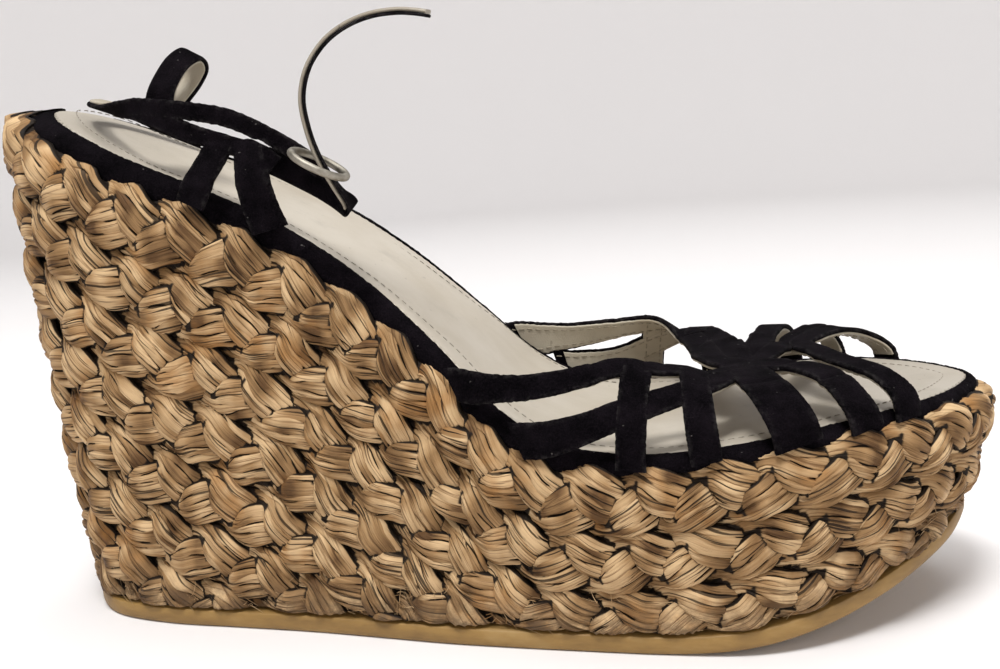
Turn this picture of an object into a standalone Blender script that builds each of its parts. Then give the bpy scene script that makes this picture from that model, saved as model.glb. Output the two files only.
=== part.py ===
"""Right-foot espadrille wedge sandal: outsole, straw wedge, rim, insole, caged vamp and heel straps.

Frame: +X to the toe, +Y to the medial side, +Z up, origin on the floor under the middle of the shoe.
Tables and sizes are in millimetres; meshes are in metres.
"""
import bpy
import bmesh
import numpy as np

MM = 0.001
GAP = 0.3                   # clearance between neighbouring pieces
HEEL_X = -105.55            # back end of the insole in the frame
RING_STEPS = 3              # curve steps between two sections

INSOLE_THICK = 2.5
INSOLE_BEVEL = 0.5
OUTSOLE_THICK = 4.0
OUTSOLE_BEVEL = 0.8
SPRING_START = 39.0         # where the sole leaves the floor
SPRING_LENGTH = 72.0
TOE_SPRING = 17.5

STRAW_LEVELS = 4            # rings in the height of one plaited row
STRAW_BULGE = 2.4           # how far a row stands out between two grooves
STRAW_SOLE_INSET = 2.0      # groove line inside the outsole's edge
STRAW_TAPER = 1.5           # the side stays upright near the top and runs in lower down

RIM_TOP = 0.2               # the rim's inner edge over the insole's edge
RIM_SHOULDER = 0.42         # share of the rim's depth where its rounded top ends
RIM_RISE = 0.15             # the rim's lower edge over its seat on the straw
RIM_EDGE = 1.3              # inner corner of the rim's lower edge over the same seat
RIM_LIP = 1.0               # width of the rim's lower edge
SUEDE_THICK = 1.8
RIBBON_THICK = 1.6          # loop and ankle strap
STRAP_STEP = 4.0            # length of one strap segment
STRAP_LIFT = 0.12           # each later strap lies this much higher where straps cross
PATTERN_HALF = 50.0         # flat pattern of the vamp, crown to rim
DOME_POWER = 0.87           # flattened arch of the vamp's cross section
DOME_MEDIAL = 0.04          # the medial side stands this share higher
VAMP_CLEAR = 0.8            # straps pass the rim's outer face at this distance
LEG_TOP = 113.0             # below this height the A legs lean outwards
LEG_RUN = 9.0
LEG_OUT = 4.6

SECTION_COLUMNS = ("from_heel", "height", "lateral", "medial",
                   "sole_from_heel", "sole_lateral", "sole_medial",
                   "rim_out", "rim_drop", "straw_out", "straw_drop", "straw_pitch")
SECTIONS = np.array([
    (1.5, 124.0, 0.0, 0.0, -1.6, 0.0, 0.0, 7.0, 3.0, 11.0, -0.6, 15.0),
    (5.5, 122.6, 10.5, 10.5, 2.6, 12.7, 12.7, 6.6, 3.6, 10.2, 0.6, 15.0),
    (14.0, 118.6, 18.8, 18.8, 12.7, 23.4, 23.4, 5.6, 5.0, 8.0, 4.0, 15.0),
    (30.0, 110.7, 24.0, 24.0, 29.0, 28.6, 27.8, 4.6, 6.0, 5.6, 6.0, 15.0),
    (48.0, 102.9, 25.1, 24.8, 47.0, 30.6, 28.6, 4.3, 5.6, 5.0, 5.6, 14.8),
    (66.0, 93.8, 25.1, 23.7, 66.0, 32.6, 28.4, 4.3, 6.0, 5.0, 6.0, 14.8),
    (84.0, 81.2, 25.6, 22.8, 84.0, 35.4, 28.8, 4.3, 6.2, 5.0, 6.2, 15.2),
    (100.0, 66.6, 28.0, 24.4, 100.0, 38.0, 30.4, 4.3, 5.2, 5.0, 5.2, 15.4),
    (114.0, 52.5, 32.6, 28.8, 115.0, 39.6, 33.4, 4.3, 5.2, 4.8, 5.2, 14.6),
    (128.0, 44.8, 36.1, 33.4, 130.0, 40.8, 36.8, 4.2, 4.8, 4.4, 4.8, 13.2),
    (146.0, 43.0, 38.4, 37.6, 148.0, 42.0, 41.0, 4.0, 3.6, 3.9, 3.6, 12.2),
    (164.0, 44.6, 38.2, 38.4, 166.0, 42.0, 42.0, 3.8, 3.2, 3.8, 3.2, 11.8),
    (180.0, 46.9, 35.2, 35.6, 180.5, 37.4, 38.2, 3.6, 3.0, 3.8, 3.0, 11.8),
    (194.0, 48.3, 27.8, 30.0, 194.0, 28.6, 31.6, 3.2, 2.9, 3.9, 2.9, 11.6),
    (204.6, 48.7, 18.4, 23.1, 204.5, 18.6, 24.2, 2.8, 2.8, 4.2, 2.8, 11.4),
    (212.2, 48.7, 7.0, 15.5, 212.0, 8.0, 16.2, 2.6, 2.8, 4.4, 2.8, 11.4),
    (216.4, 48.6, -5.8, 5.8, 216.2, -5.8, 5.8, 2.6, 2.8, 4.4, 2.8, 11.4)])

# Arch of the vamp over the insole, and the height to which its soft top has sunk on the lateral shoulder,
# in the middle and on the medial shoulder
CROWN_COLUMNS = ("x", "arch", "lateral", "middle", "medial")
CROWN = np.array([
    (-12.0, 28.0, 40.0, 40.0, 40.0),
    (20.0, 28.0, 40.0, 40.0, 40.0),
    (34.0, 26.0, 24.0, 23.0, 24.0),
    (39.0, 24.3, 19.5, 17.0, 18.0),
    (44.0, 22.5, 16.1, 12.4, 12.9),
    (49.0, 20.3, 15.0, 11.9, 12.6),
    (53.0, 18.7, 12.2, 11.9, 12.5),
    (61.0, 16.1, 10.8, 11.3, 12.2),
    (74.0, 12.4, 8.7, 9.6, 11.8),
    (84.0, 10.0, 8.4, 8.8, 9.0),
    (92.0, 8.5, 9.0, 8.6, 8.0),
    (104.0, 7.0, 10.0, 10.0, 10.0)])
SHOULDER = 0.4              # across value of the two shoulders
SINK_POWER = 6.0            # how sharply the arch turns into the sunk top

# Straps of the vamp on the flat pattern: x, and across from the lateral rim (-1) to the medial rim (1)
VAMP_COLUMNS = ("name", "width", "rows of x and across")
VAMP = (
    ("lateral_low", 6.4, ((14, -1.04), (22, -0.95), (35, -0.81), (50, -0.61), (58, -0.37), (64, 0.0),
                          (69, 0.45), (72, 0.8), (73, 1.03))),
    ("medial_low", 7.0, ((12, 1.04), (20, 0.98), (33, 0.88), (46, 0.66), (54, 0.28), (60, -0.2))),
    ("lateral_toe_post", 9.4, ((56.5, 0.08), (60, -0.2), (66, -0.6), (69.5, -0.85), (71, -1.03))),
    ("lateral_top", 5.0, ((0, -1.05), (6, -0.94), (15, -0.805), (27, -0.65), (40, -0.495), (50, -0.40),
                          (59, -0.28), (67, -0.08), (74, 0.16), (79, 0.44), (83, 0.82), (84.5, 1.03))),
    ("medial_top", 6.4, ((1, 1.07), (7, 0.97), (15, 0.865), (27, 0.735), (36, 0.665), (43, 0.53),
                         (48.5, 0.30), (52, 0.02), (56, -0.16), (64, -0.22), (72, -0.27), (78, -0.46),
                         (82.5, -0.8), (84.5, -1.03))),
    ("lateral_rear_post", 6.2, ((37.8, -1.04), (38.3, -0.8), (38.8, -0.54))),
    ("lateral_front_post", 6.4, ((53.0, -1.03), (51.5, -0.7), (50.4, -0.40))),
    ("medial_rear_post", 6.2, ((36.5, 1.04), (37.5, 0.8), (38.5, 0.60))),
    ("medial_front_post", 6.4, ((53.5, 1.03), (51.5, 0.7), (49.0, 0.34))),
    ("toe_chevron", 5.2, ((93, -1.03), (92, -0.78), (88.5, -0.53), (84.5, -0.37), (81, -0.23), (77.5, -0.08),
                          (74.5, 0.03), (78.5, 0.18), (83, 0.36), (89, 0.6), (94.5, 0.85), (96, 1.03))))

# Plan of the heel band, from the lateral front round the back to the medial front
HEEL_PLAN_COLUMNS = ("x", "y")
HEEL_PLAN = np.array([
    (-20, -27.5), (-40, -27.5), (-56, -27), (-70, -22.5), (-83, -14), (-91.5, -5.5),
    (-94, 2), (-90.5, 9.5), (-82, 16.5), (-67, 24.6), (-52, 28), (-36, 28.4)], float)

# Straps of the heel on the flat pattern: millimetres along the plan, and height over the floor
HEEL_COLUMNS = ("name", "width", "rows of along and height")
HEEL = (
    ("lower_band", 4.4, ((18, 107.0), (22, 109.9), (29, 112.5), (35, 114.6), (41, 117.0), (48, 120.0),
                         (58, 122.8), (70, 124.1), (80, 125.5), (87, 125.7), (96, 123.2), (107, 117.6),
                         (117, 112.9), (128, 108.5), (137, 105.2))),
    ("upper_band", 4.1, ((7.5, 105.4), (12, 109.0), (16.5, 112.0), (22, 115.3), (25.5, 117.1), (29.5, 118.7),
                         (35.5, 120.1), (41.5, 121.1), (50, 122.2), (62, 123.4))),
    ("lateral_front_leg", 7.0, ((20.0, 93.4), (21.8, 100.0), (23.6, 110.5))),
    ("lateral_rear_leg", 6.5, ((36.6, 100.0), (33.8, 105.6), (30.2, 112.6))),
    ("medial_front_leg", 7.0, ((141.0, 97.0), (138.5, 101.4), (135.5, 106.0))),
    ("medial_rear_leg", 6.5, ((123.5, 104.8), (126.0, 106.6), (128.5, 108.7))))

# How the heel wall stands: millimetres along, pivot height, degrees outwards with the lining up,
# share of the leg lean
STAND_COLUMNS = ("along", "pivot", "degrees", "lean share")
STAND = np.array([(0, 110, 0, 0), (14, 110, 0, 0), (20, 110, 0, 1), (54, 121, 0, 1), (62, 122.8, 40, 1),
                  (70, 124.1, 68, 1), (80, 125.5, 70, 1), (87, 125.7, 60, 1), (96, 123.2, 42, 1),
                  (107, 117.6, 15, 1), (117, 112.9, 0, 1.2), (180, 108, 0, 1.2)], float)

RIBBON_COLUMNS = ("x", "y", "z", "width", "width axis x", "width axis y", "width axis z")
BACK_LOOP = np.array([
    (-67.0, -22.2, 120.6, 9.0, 0.95, -0.30, 0.00),
    (-66.8, -21.9, 124.4, 8.4, 0.95, -0.30, -0.10),
    (-65.4, -20.6, 128.2, 7.4, 0.92, -0.30, -0.30),
    (-63.4, -17.8, 132.0, 7.0, 0.88, -0.30, -0.42),
    (-61.9, -13.8, 133.7, 7.0, 0.86, -0.30, -0.45),
    (-62.5, -10.2, 131.8, 6.6, 0.88, -0.25, -0.42),
    (-64.6, -10.0, 128.4, 6.4, 0.90, -0.20, -0.38),
    (-66.2, -12.6, 125.2, 6.4, 0.92, -0.20, -0.30),
    (-67.2, -16.8, 122.2, 6.6, 0.95, -0.20, -0.20),
    (-67.2, -19.7, 119.6, 6.6, 0.95, -0.30, 0.00)])
ANKLE_STRAP = np.array([
    (-41.5, -26.2, 108.9, 5.6, 0.25, 0.00, 0.97),
    (-38.0, -26.2, 107.2, 5.6, 0.25, 0.00, 0.97),
    (-34.0, -26.2, 104.9, 5.4, 0.30, 0.00, 0.95),
    (-29.0, -26.3, 101.8, 5.0, 0.40, 0.00, 0.91),
    (-24.8, -27.2, 98.9, 4.6, 0.50, 0.10, 0.82),
    (-21.9, -29.6, 97.2, 4.6, 0.40, 0.50, 0.60),
    (-21.2, -32.8, 98.6, 4.8, 0.00, 0.90, 0.20),
    (-22.6, -34.8, 101.8, 5.2, -0.20, 0.96, 0.05),
    (-25.0, -35.2, 106.4, 5.6, -0.30, 0.94, 0.02),
    (-27.0, -35.0, 111.4, 6.0, -0.33, 0.94, 0.03),
    (-28.1, -35.0, 116.4, 6.0, -0.33, 0.94, 0.04),
    (-28.4, -35.0, 120.6, 6.0, -0.33, 0.94, 0.05),
    (-27.5, -35.0, 124.8, 6.0, -0.32, 0.94, 0.07),
    (-25.5, -35.0, 128.7, 6.0, -0.32, 0.94, 0.08),
    (-21.9, -35.0, 132.5, 6.0, -0.30, 0.94, 0.09),
    (-17.2, -35.0, 135.2, 6.0, -0.29, 0.94, 0.10),
    (-11.9, -35.0, 136.7, 6.0, -0.28, 0.95, 0.10),
    (-6.5, -35.0, 137.0, 6.0, -0.26, 0.95, 0.10),
    (-2.3, -35.0, 136.5, 6.0, -0.25, 0.95, 0.10),
    (0.4, -35.0, 135.9, 5.4, -0.25, 0.95, 0.10)])

RING_CENTRE = (-25.8, -35.6, 107.0)
RING_LONG_AXIS = (0.87, 0.0, -0.49)
RING_SHORT_AXIS = (0.04, 0.99, 0.07)
RING_LONG = 6.4             # half lengths of the oval, to the wire's middle
RING_SHORT = 5.0
RING_WIRE = 0.8
RING_POINTS = 28

COLOURS = {                 # base colour, roughness, metallic
    "outsole": ((0.25, 0.15, 0.05, 1.0), 0.75, 0.0),
    "straw": ((0.36, 0.24, 0.11, 1.0), 0.8, 0.0),
    "suede": ((0.012, 0.010, 0.013, 1.0), 0.9, 0.0),
    "footbed": ((0.62, 0.57, 0.48, 1.0), 0.6, 0.0),
    "ring": ((0.45, 0.44, 0.42, 1.0), 0.35, 1.0)}


def column(table, names, name):
    return table[:, names.index(name)]


def curve_through(rows, steps, closed):
    """Cubic curve through the rows, every column at once, with the given steps between two rows."""
    rows = np.asarray(rows, float)
    if closed:
        before, after, last = np.roll(rows, 1, 0), np.roll(rows, -1, 0), np.roll(rows, -2, 0)
        first = rows
    else:
        ends = np.vstack([2 * rows[0] - rows[1], rows, 2 * rows[-1] - rows[-2]])
        before, first, after, last = ends[:-3], ends[1:-2], ends[2:-1], ends[3:]
    t = (np.arange(steps) / steps)[None, :, None]
    a, b, c, d = (q[:, None, :] for q in (before, first, after, last))
    curve = 0.5 * (2 * b + (c - a) * t + (2 * a - 5 * b + 4 * c - d) * t**2 + (3 * b - a - 3 * c + d) * t**3)
    curve = curve.reshape(-1, rows.shape[1])
    return curve if closed else np.vstack([curve, rows[-1:]])


def even_curve(rows, step):
    """Curve through the rows, read off at even lengths close to the step."""
    fine = curve_through(rows, 12, False)
    length = np.concatenate([[0], np.cumsum(np.linalg.norm(np.diff(fine, axis=0), axis=1))])
    count = max(2, int(round(length[-1] / step)))
    marks = np.linspace(0, length[-1], count + 1)
    return np.stack([np.interp(marks, length, fine[:, k]) for k in range(fine.shape[1])], 1)


def outline():
    """Closed ring round the shoe from the heel by the lateral side to the toe and back, a dict of columns."""
    values = {name: column(SECTIONS, SECTION_COLUMNS, name) for name in SECTION_COLUMNS}
    shared = ("from_heel", "height", "sole_from_heel", "rim_out", "rim_drop", "straw_out", "straw_drop",
              "straw_pitch")
    lateral = np.stack([values[n] for n in shared] + [-values["lateral"], -values["sole_lateral"]], 1)
    medial = np.stack([values[n] for n in shared] + [values["medial"], values["sole_medial"]], 1)
    rows = np.vstack([lateral, medial[-2:0:-1]])
    curve = curve_through(rows, RING_STEPS, True)
    ring = dict(zip(shared + ("y", "sole_y"), curve.T))
    ring["x"] = ring["from_heel"] + HEEL_X
    ring["sole_x"] = ring["sole_from_heel"] + HEEL_X
    return ring


def outward(x, y):
    """Unit normals of a closed plan that runs anticlockwise seen from above."""
    along = np.stack([np.roll(x, -1) - np.roll(x, 1), np.roll(y, -1) - np.roll(y, 1)], 1)
    along /= np.linalg.norm(along, axis=1)[:, None]
    return along[:, 1], -along[:, 0]


def sole_height(x):
    """The sole lies flat to the ball and then rises as a parabola to the toe."""
    return TOE_SPRING * (np.maximum(x - SPRING_START, 0) / SPRING_LENGTH)**2


def new_object(name, points, faces, material):
    mesh = bpy.data.meshes.new(name)
    mesh.from_pydata([tuple(p) for p in np.asarray(points) * MM], [], faces)
    work = bmesh.new()
    work.from_mesh(mesh)
    bmesh.ops.remove_doubles(work, verts=work.verts, dist=0.00001)
    bmesh.ops.dissolve_degenerate(work, dist=0.000005, edges=work.edges)
    bmesh.ops.triangulate(work, faces=work.faces)
    bmesh.ops.recalc_face_normals(work, faces=work.faces)
    work.to_mesh(mesh)
    work.free()
    made = bpy.data.objects.new(name, mesh)
    if material:
        mesh.materials.append(materials[material])
        mesh.shade_smooth()
        mesh.set_sharp_from_angle(angle=0.6)
    return made


def add_part(made):
    shoe.objects.link(made)
    return made


def side_faces(levels, count):
    """Quads between closed rings stacked from the first level to the last."""
    faces = []
    for level in range(levels - 1):
        for k in range(count):
            n = (k + 1) % count
            here, below = level * count, (level + 1) * count
            faces.append((here + k, here + n, below + n, below + k))
    return faces


def cap_faces(start, count, up):
    """Strips across a ring from the lateral point to the medial point of the same section."""
    faces = []
    half = count // 2
    for k in range(half):
        face = [k, k + 1, (count - k - 1) % count, (count - k) % count]
        face = [start + v for v in dict.fromkeys(face)]
        faces.append(face if up else face[::-1])
    return faces


def stacked_solid(name, rings, material):
    """Solid between the first ring, capped on top, and the last ring, capped below."""
    count = len(rings[0])
    faces = side_faces(len(rings), count) + cap_faces(0, count, True)
    faces += cap_faces((len(rings) - 1) * count, count, False)
    return add_part(new_object(name, np.vstack(rings), faces, material))


def make_outsole(ring):
    nx, ny = outward(ring["sole_x"], ring["sole_y"])
    rings = []
    for inset, rise in ((0.0, OUTSOLE_THICK), (0.0, OUTSOLE_BEVEL), (OUTSOLE_BEVEL, 0.0)):
        x = ring["sole_x"] - inset * nx
        y = ring["sole_y"] - inset * ny
        rings.append(np.stack([x, y, sole_height(x) + rise], 1))
    stacked_solid("outsole", rings, "outsole")


def make_wedge(ring):
    nx, ny = outward(ring["x"], ring["y"])
    top = ring["height"] - ring["straw_drop"] - GAP
    bottom = sole_height(ring["sole_x"]) + OUTSOLE_THICK + GAP
    depth = top - bottom
    lip = ring["rim_out"] + GAP
    seat = ring["height"] - ring["rim_drop"] - GAP
    rings = [np.stack([ring["x"], ring["y"], ring["height"] - INSOLE_THICK - GAP], 1),
             np.stack([ring["x"] + lip * nx, ring["y"] + lip * ny, seat], 1),
             np.stack([ring["x"] + (lip + 0.1) * nx, ring["y"] + (lip + 0.1) * ny, top], 1)]
    step = ring["straw_pitch"] / STRAW_LEVELS
    for level in range(1, int(np.ceil((depth / step).max())) + 1):
        down = np.minimum(level * step, depth)
        share = (down / depth)**STRAW_TAPER
        bulge = STRAW_BULGE * np.abs(np.sin(np.pi * down / ring["straw_pitch"]))**0.7
        out_top = ring["straw_out"] + bulge
        out_low = bulge - STRAW_SOLE_INSET
        x = (1 - share) * (ring["x"] + out_top * nx) + share * (ring["sole_x"] + out_low * nx)
        y = (1 - share) * (ring["y"] + out_top * ny) + share * (ring["sole_y"] + out_low * ny)
        rings.append(np.stack([x, y, top - down], 1))
    stacked_solid("wedge", rings, "straw")


def make_insole(ring):
    nx, ny = outward(ring["x"], ring["y"])
    rings = []
    for inset, drop in ((INSOLE_BEVEL, 0.0), (0.0, INSOLE_BEVEL), (0.0, INSOLE_THICK)):
        rings.append(np.stack([ring["x"] - inset * nx, ring["y"] - inset * ny, ring["height"] - drop], 1))
    stacked_solid("insole", rings, "footbed")


def make_rim(ring):
    nx, ny = outward(ring["x"], ring["y"])
    out, drop = ring["rim_out"], ring["rim_drop"]
    inner, level = 0 * out + GAP, 0 * drop
    profile = ((inner, level + RIM_TOP), (out / 2, level - RIM_TOP / 2), (out, -RIM_SHOULDER * drop),
               (out, RIM_RISE - drop), (out - RIM_LIP, RIM_EDGE - drop),
               (inner, level - INSOLE_THICK + RIM_TOP))
    rings = [np.stack([ring["x"] + o * nx, ring["y"] + o * ny, ring["height"] + d], 1) for o, d in profile]
    faces = side_faces(len(rings) + 1, len(out))
    faces = [tuple(v % (len(rings) * len(out)) for v in face) for face in faces]
    add_part(new_object("rim", np.vstack(rings), faces, "suede"))


def flat_strap(name, rows, width, lift):
    """Strap of one width on the flat pattern, as a thin slab cut into short segments."""
    middle = even_curve(rows, STRAP_STEP)
    along = np.gradient(middle, axis=0)
    along /= np.linalg.norm(along, axis=1)[:, None]
    side = np.stack([-along[:, 1], along[:, 0]], 1) * width / 2
    corners = []
    for sign, height in ((1, lift), (-1, lift), (-1, lift + SUEDE_THICK), (1, lift + SUEDE_THICK)):
        corners.append(np.column_stack([middle + sign * side, np.full(len(middle), height)]))
    points = np.stack(corners, 1).reshape(-1, 3)
    faces = [(3, 2, 1, 0)]
    for k in range(len(middle) - 1):
        for c in range(4):
            d = (c + 1) % 4
            faces.append((4 * k + c, 4 * k + d, 4 * k + 4 + d, 4 * k + 4 + c))
    last = 4 * (len(middle) - 1)
    faces.append((last, last + 1, last + 2, last + 3))
    return new_object(name, points, faces, None)


def joined_pattern(name, straps, spread):
    """Flat straps united to one slab: points in millimetres and triangles."""
    pieces = bpy.data.collections.new(name + "_straps")
    cutters.children.link(pieces)
    slabs = []
    for k, (strap, width, rows) in enumerate(straps):
        slabs.append(flat_strap(name + "_" + strap, np.asarray(rows, float) * spread, width, k * STRAP_LIFT))
    for slab in slabs:
        slab.hide_render = True
        slab.display_type = "WIRE"
        pieces.objects.link(slab)
    base = slabs[0]
    for slab in slabs[1:]:
        join = base.modifiers.new(slab.name, "BOOLEAN")
        join.operation = "UNION"
        join.object = slab
    bpy.context.view_layer.update()
    mesh = bpy.data.meshes.new_from_object(base.evaluated_get(bpy.context.evaluated_depsgraph_get()))
    work = bmesh.new()
    work.from_mesh(mesh)
    bmesh.ops.remove_doubles(work, verts=work.verts, dist=0.00002)
    bmesh.ops.triangulate(work, faces=work.faces)
    points = np.array([v.co[:] for v in work.verts]) / MM
    faces = [tuple(v.index for v in f.verts) for f in work.faces]
    work.free()
    bpy.data.meshes.remove(mesh)
    return points, faces


def bent(points, surface, outside):
    """Points of a flat slab laid on a surface: the slab's height goes along the normal to the outside."""
    p, q, height = points.T
    reach = 0.2
    base = surface(p, q)
    dp = surface(p + reach, q) - surface(p - reach, q)
    dq = surface(p, q + reach) - surface(p, q - reach)
    normal = np.cross(dp, dq)
    normal /= np.linalg.norm(normal, axis=1)[:, None]
    return base + outside * height[:, None] * normal


def make_vamp(ring):
    half = len(ring["x"]) // 2 + 1
    order = np.argsort(ring["x"][:half])
    rear = np.argsort(ring["x"][half - 1:])
    columns = ("y", "height", "rim_out")
    at = {name: (ring["x"][:half][order], ring[name][:half][order]) for name in columns}
    far_edge = (ring["x"][half - 1:][rear], ring["y"][half - 1:][rear])

    def dome(p, q):
        """Flattened arch over the foot: width from the insole, height from the crown table, top sunk."""
        across = q / PATTERN_HALF
        lateral_y = np.interp(p, *at["y"])
        medial_y = np.interp(p, *far_edge)
        reach = (medial_y - lateral_y) / 2 + np.interp(p, *at["rim_out"]) + VAMP_CLEAR
        turn = np.clip(across, -1, 1) * np.pi / 2
        y = (medial_y + lateral_y) / 2 + reach * np.sign(turn) * np.abs(np.sin(turn))**DOME_POWER
        crown = [np.interp(p, CROWN[:, 0], CROWN[:, k]) for k in range(1, len(CROWN_COLUMNS))]
        arch, lateral, middle, medial = crown
        rise = arch * (1 + DOME_MEDIAL * np.sin(turn)) * np.cos(turn)**DOME_POWER
        share = np.clip(across / SHOULDER, -1, 1)
        sunk = middle + (medial - lateral) / 2 * share + ((medial + lateral) / 2 - middle) * share**2
        rise = rise / (1 + (rise / sunk)**SINK_POWER)**(1 / SINK_POWER)
        below = np.maximum(np.abs(across) - 1, 0) * PATTERN_HALF
        return np.stack([p, y, np.interp(p, *at["height"]) + rise - below], 1)

    points, faces = joined_pattern("vamp", VAMP, np.array([1.0, PATTERN_HALF]))
    add_part(new_object("vamp", bent(points, dome, 1), faces, "suede"))


def make_heel_strap():
    plan = curve_through(HEEL_PLAN, 10, False)
    length = np.concatenate([[0], np.cumsum(np.linalg.norm(np.diff(plan, axis=0), axis=1))])
    slope = np.gradient(plan, axis=0)
    slope /= np.linalg.norm(slope, axis=1)[:, None]

    def wall(p, q):
        """Wall on the plan of the heel band: its legs lean outwards and its back lies down."""
        x = np.interp(p, length, plan[:, 0])
        y = np.interp(p, length, plan[:, 1])
        out_x = -np.interp(p, length, slope[:, 1])
        out_y = np.interp(p, length, slope[:, 0])
        along, pivots, degrees, shares = STAND.T
        pivot = np.interp(p, along, pivots)
        tilt = np.radians(np.interp(p, along, degrees))
        lean = LEG_OUT * np.clip((LEG_TOP - q) / LEG_RUN, 0, 1) * np.interp(p, along, shares)
        lean = lean + (q - pivot) * np.sin(tilt)
        z = pivot + (q - pivot) * np.cos(tilt)
        return np.stack([x + lean * out_x, y + lean * out_y, z], 1)

    points, faces = joined_pattern("heel_strap", HEEL, np.array([1.0, 1.0]))
    add_part(new_object("heel_strap", bent(points, wall, -1), faces, "suede"))


def make_ribbon(name, rows, thick):
    """Flat strap along a path in space; each row gives its middle, its width and the axis of its width."""
    path = curve_through(rows, 3, False)
    middle, width, axis = path[:, :3], path[:, 3:4], path[:, 4:]
    along = np.gradient(middle, axis=0)
    along /= np.linalg.norm(along, axis=1)[:, None]
    axis = axis - (axis * along).sum(1)[:, None] * along
    axis /= np.linalg.norm(axis, axis=1)[:, None]
    face = np.cross(along, axis)
    across, through = width / 2 * axis, thick / 2 * face
    corners = [middle + a * across + b * through for a, b in ((1, 1), (-1, 1), (-1, -1), (1, -1))]
    points = np.stack(corners, 1).reshape(-1, 3)
    count = len(middle)
    faces = [(0, 1, 2, 3)]
    for k in range(count - 1):
        for c in range(4):
            d = (c + 1) % 4
            faces.append((4 * k + c, 4 * k + 4 + c, 4 * k + 4 + d, 4 * k + d))
    last = 4 * (count - 1)
    faces.append((last + 3, last + 2, last + 1, last))
    add_part(new_object(name, points, faces, "suede"))


def make_ring():
    curve = bpy.data.curves.new("ring", "CURVE")
    curve.dimensions = "3D"
    curve.bevel_depth = RING_WIRE * MM
    curve.bevel_resolution = 2
    line = curve.splines.new("POLY")
    line.points.add(RING_POINTS - 1)
    line.use_cyclic_u = True
    turn = np.arange(RING_POINTS) * 2 * np.pi / RING_POINTS
    long_axis = np.array(RING_LONG_AXIS) / np.linalg.norm(RING_LONG_AXIS)
    short_axis = np.array(RING_SHORT_AXIS) - np.dot(RING_SHORT_AXIS, long_axis) * long_axis
    short_axis /= np.linalg.norm(short_axis)
    for point, angle in zip(line.points, turn):
        place = np.array(RING_CENTRE) + RING_LONG * np.cos(angle) * long_axis
        place = place + RING_SHORT * np.sin(angle) * short_axis
        point.co = (*(place * MM), 1.0)
    made = bpy.data.objects.new("ring", curve)
    curve.materials.append(materials["ring"])
    add_part(made)


for old in list(bpy.data.objects):
    bpy.data.objects.remove(old, do_unlink=True)
shoe = bpy.data.collections.new("espadrille_wedge_sandal")
cutters = bpy.data.collections.new("patterns")
bpy.context.scene.collection.children.link(shoe)
bpy.context.scene.collection.children.link(cutters)
materials = {}
for name, (colour, roughness, metallic) in COLOURS.items():
    materials[name] = bpy.data.materials.new(name)
    materials[name].use_nodes = True
    surface = materials[name].node_tree.nodes["Principled BSDF"]
    surface.inputs["Base Color"].default_value = colour
    surface.inputs["Roughness"].default_value = roughness
    surface.inputs["Metallic"].default_value = metallic

edge = outline()
make_outsole(edge)
make_wedge(edge)
make_insole(edge)
make_rim(edge)
make_vamp(edge)
make_heel_strap()
make_ribbon("back_loop", BACK_LOOP, RIBBON_THICK)
make_ribbon("ankle_strap", ANKLE_STRAP, RIBBON_THICK)
make_ring()
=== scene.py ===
import bmesh
import bpy
import numpy as np
from mathutils import Matrix, Vector


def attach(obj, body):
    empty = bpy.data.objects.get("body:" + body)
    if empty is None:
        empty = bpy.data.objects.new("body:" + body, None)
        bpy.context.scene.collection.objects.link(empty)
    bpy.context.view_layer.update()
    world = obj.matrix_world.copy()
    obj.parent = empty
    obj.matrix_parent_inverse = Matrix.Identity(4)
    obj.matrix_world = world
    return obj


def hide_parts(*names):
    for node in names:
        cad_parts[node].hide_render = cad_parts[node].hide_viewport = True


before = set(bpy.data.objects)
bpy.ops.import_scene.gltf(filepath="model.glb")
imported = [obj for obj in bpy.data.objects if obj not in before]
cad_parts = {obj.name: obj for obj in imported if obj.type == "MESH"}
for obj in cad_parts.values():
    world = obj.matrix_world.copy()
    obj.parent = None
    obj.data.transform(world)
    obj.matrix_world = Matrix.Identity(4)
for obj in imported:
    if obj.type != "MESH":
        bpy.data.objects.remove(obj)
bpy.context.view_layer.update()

mm = 0.001
rng = np.random.default_rng(38)

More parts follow.
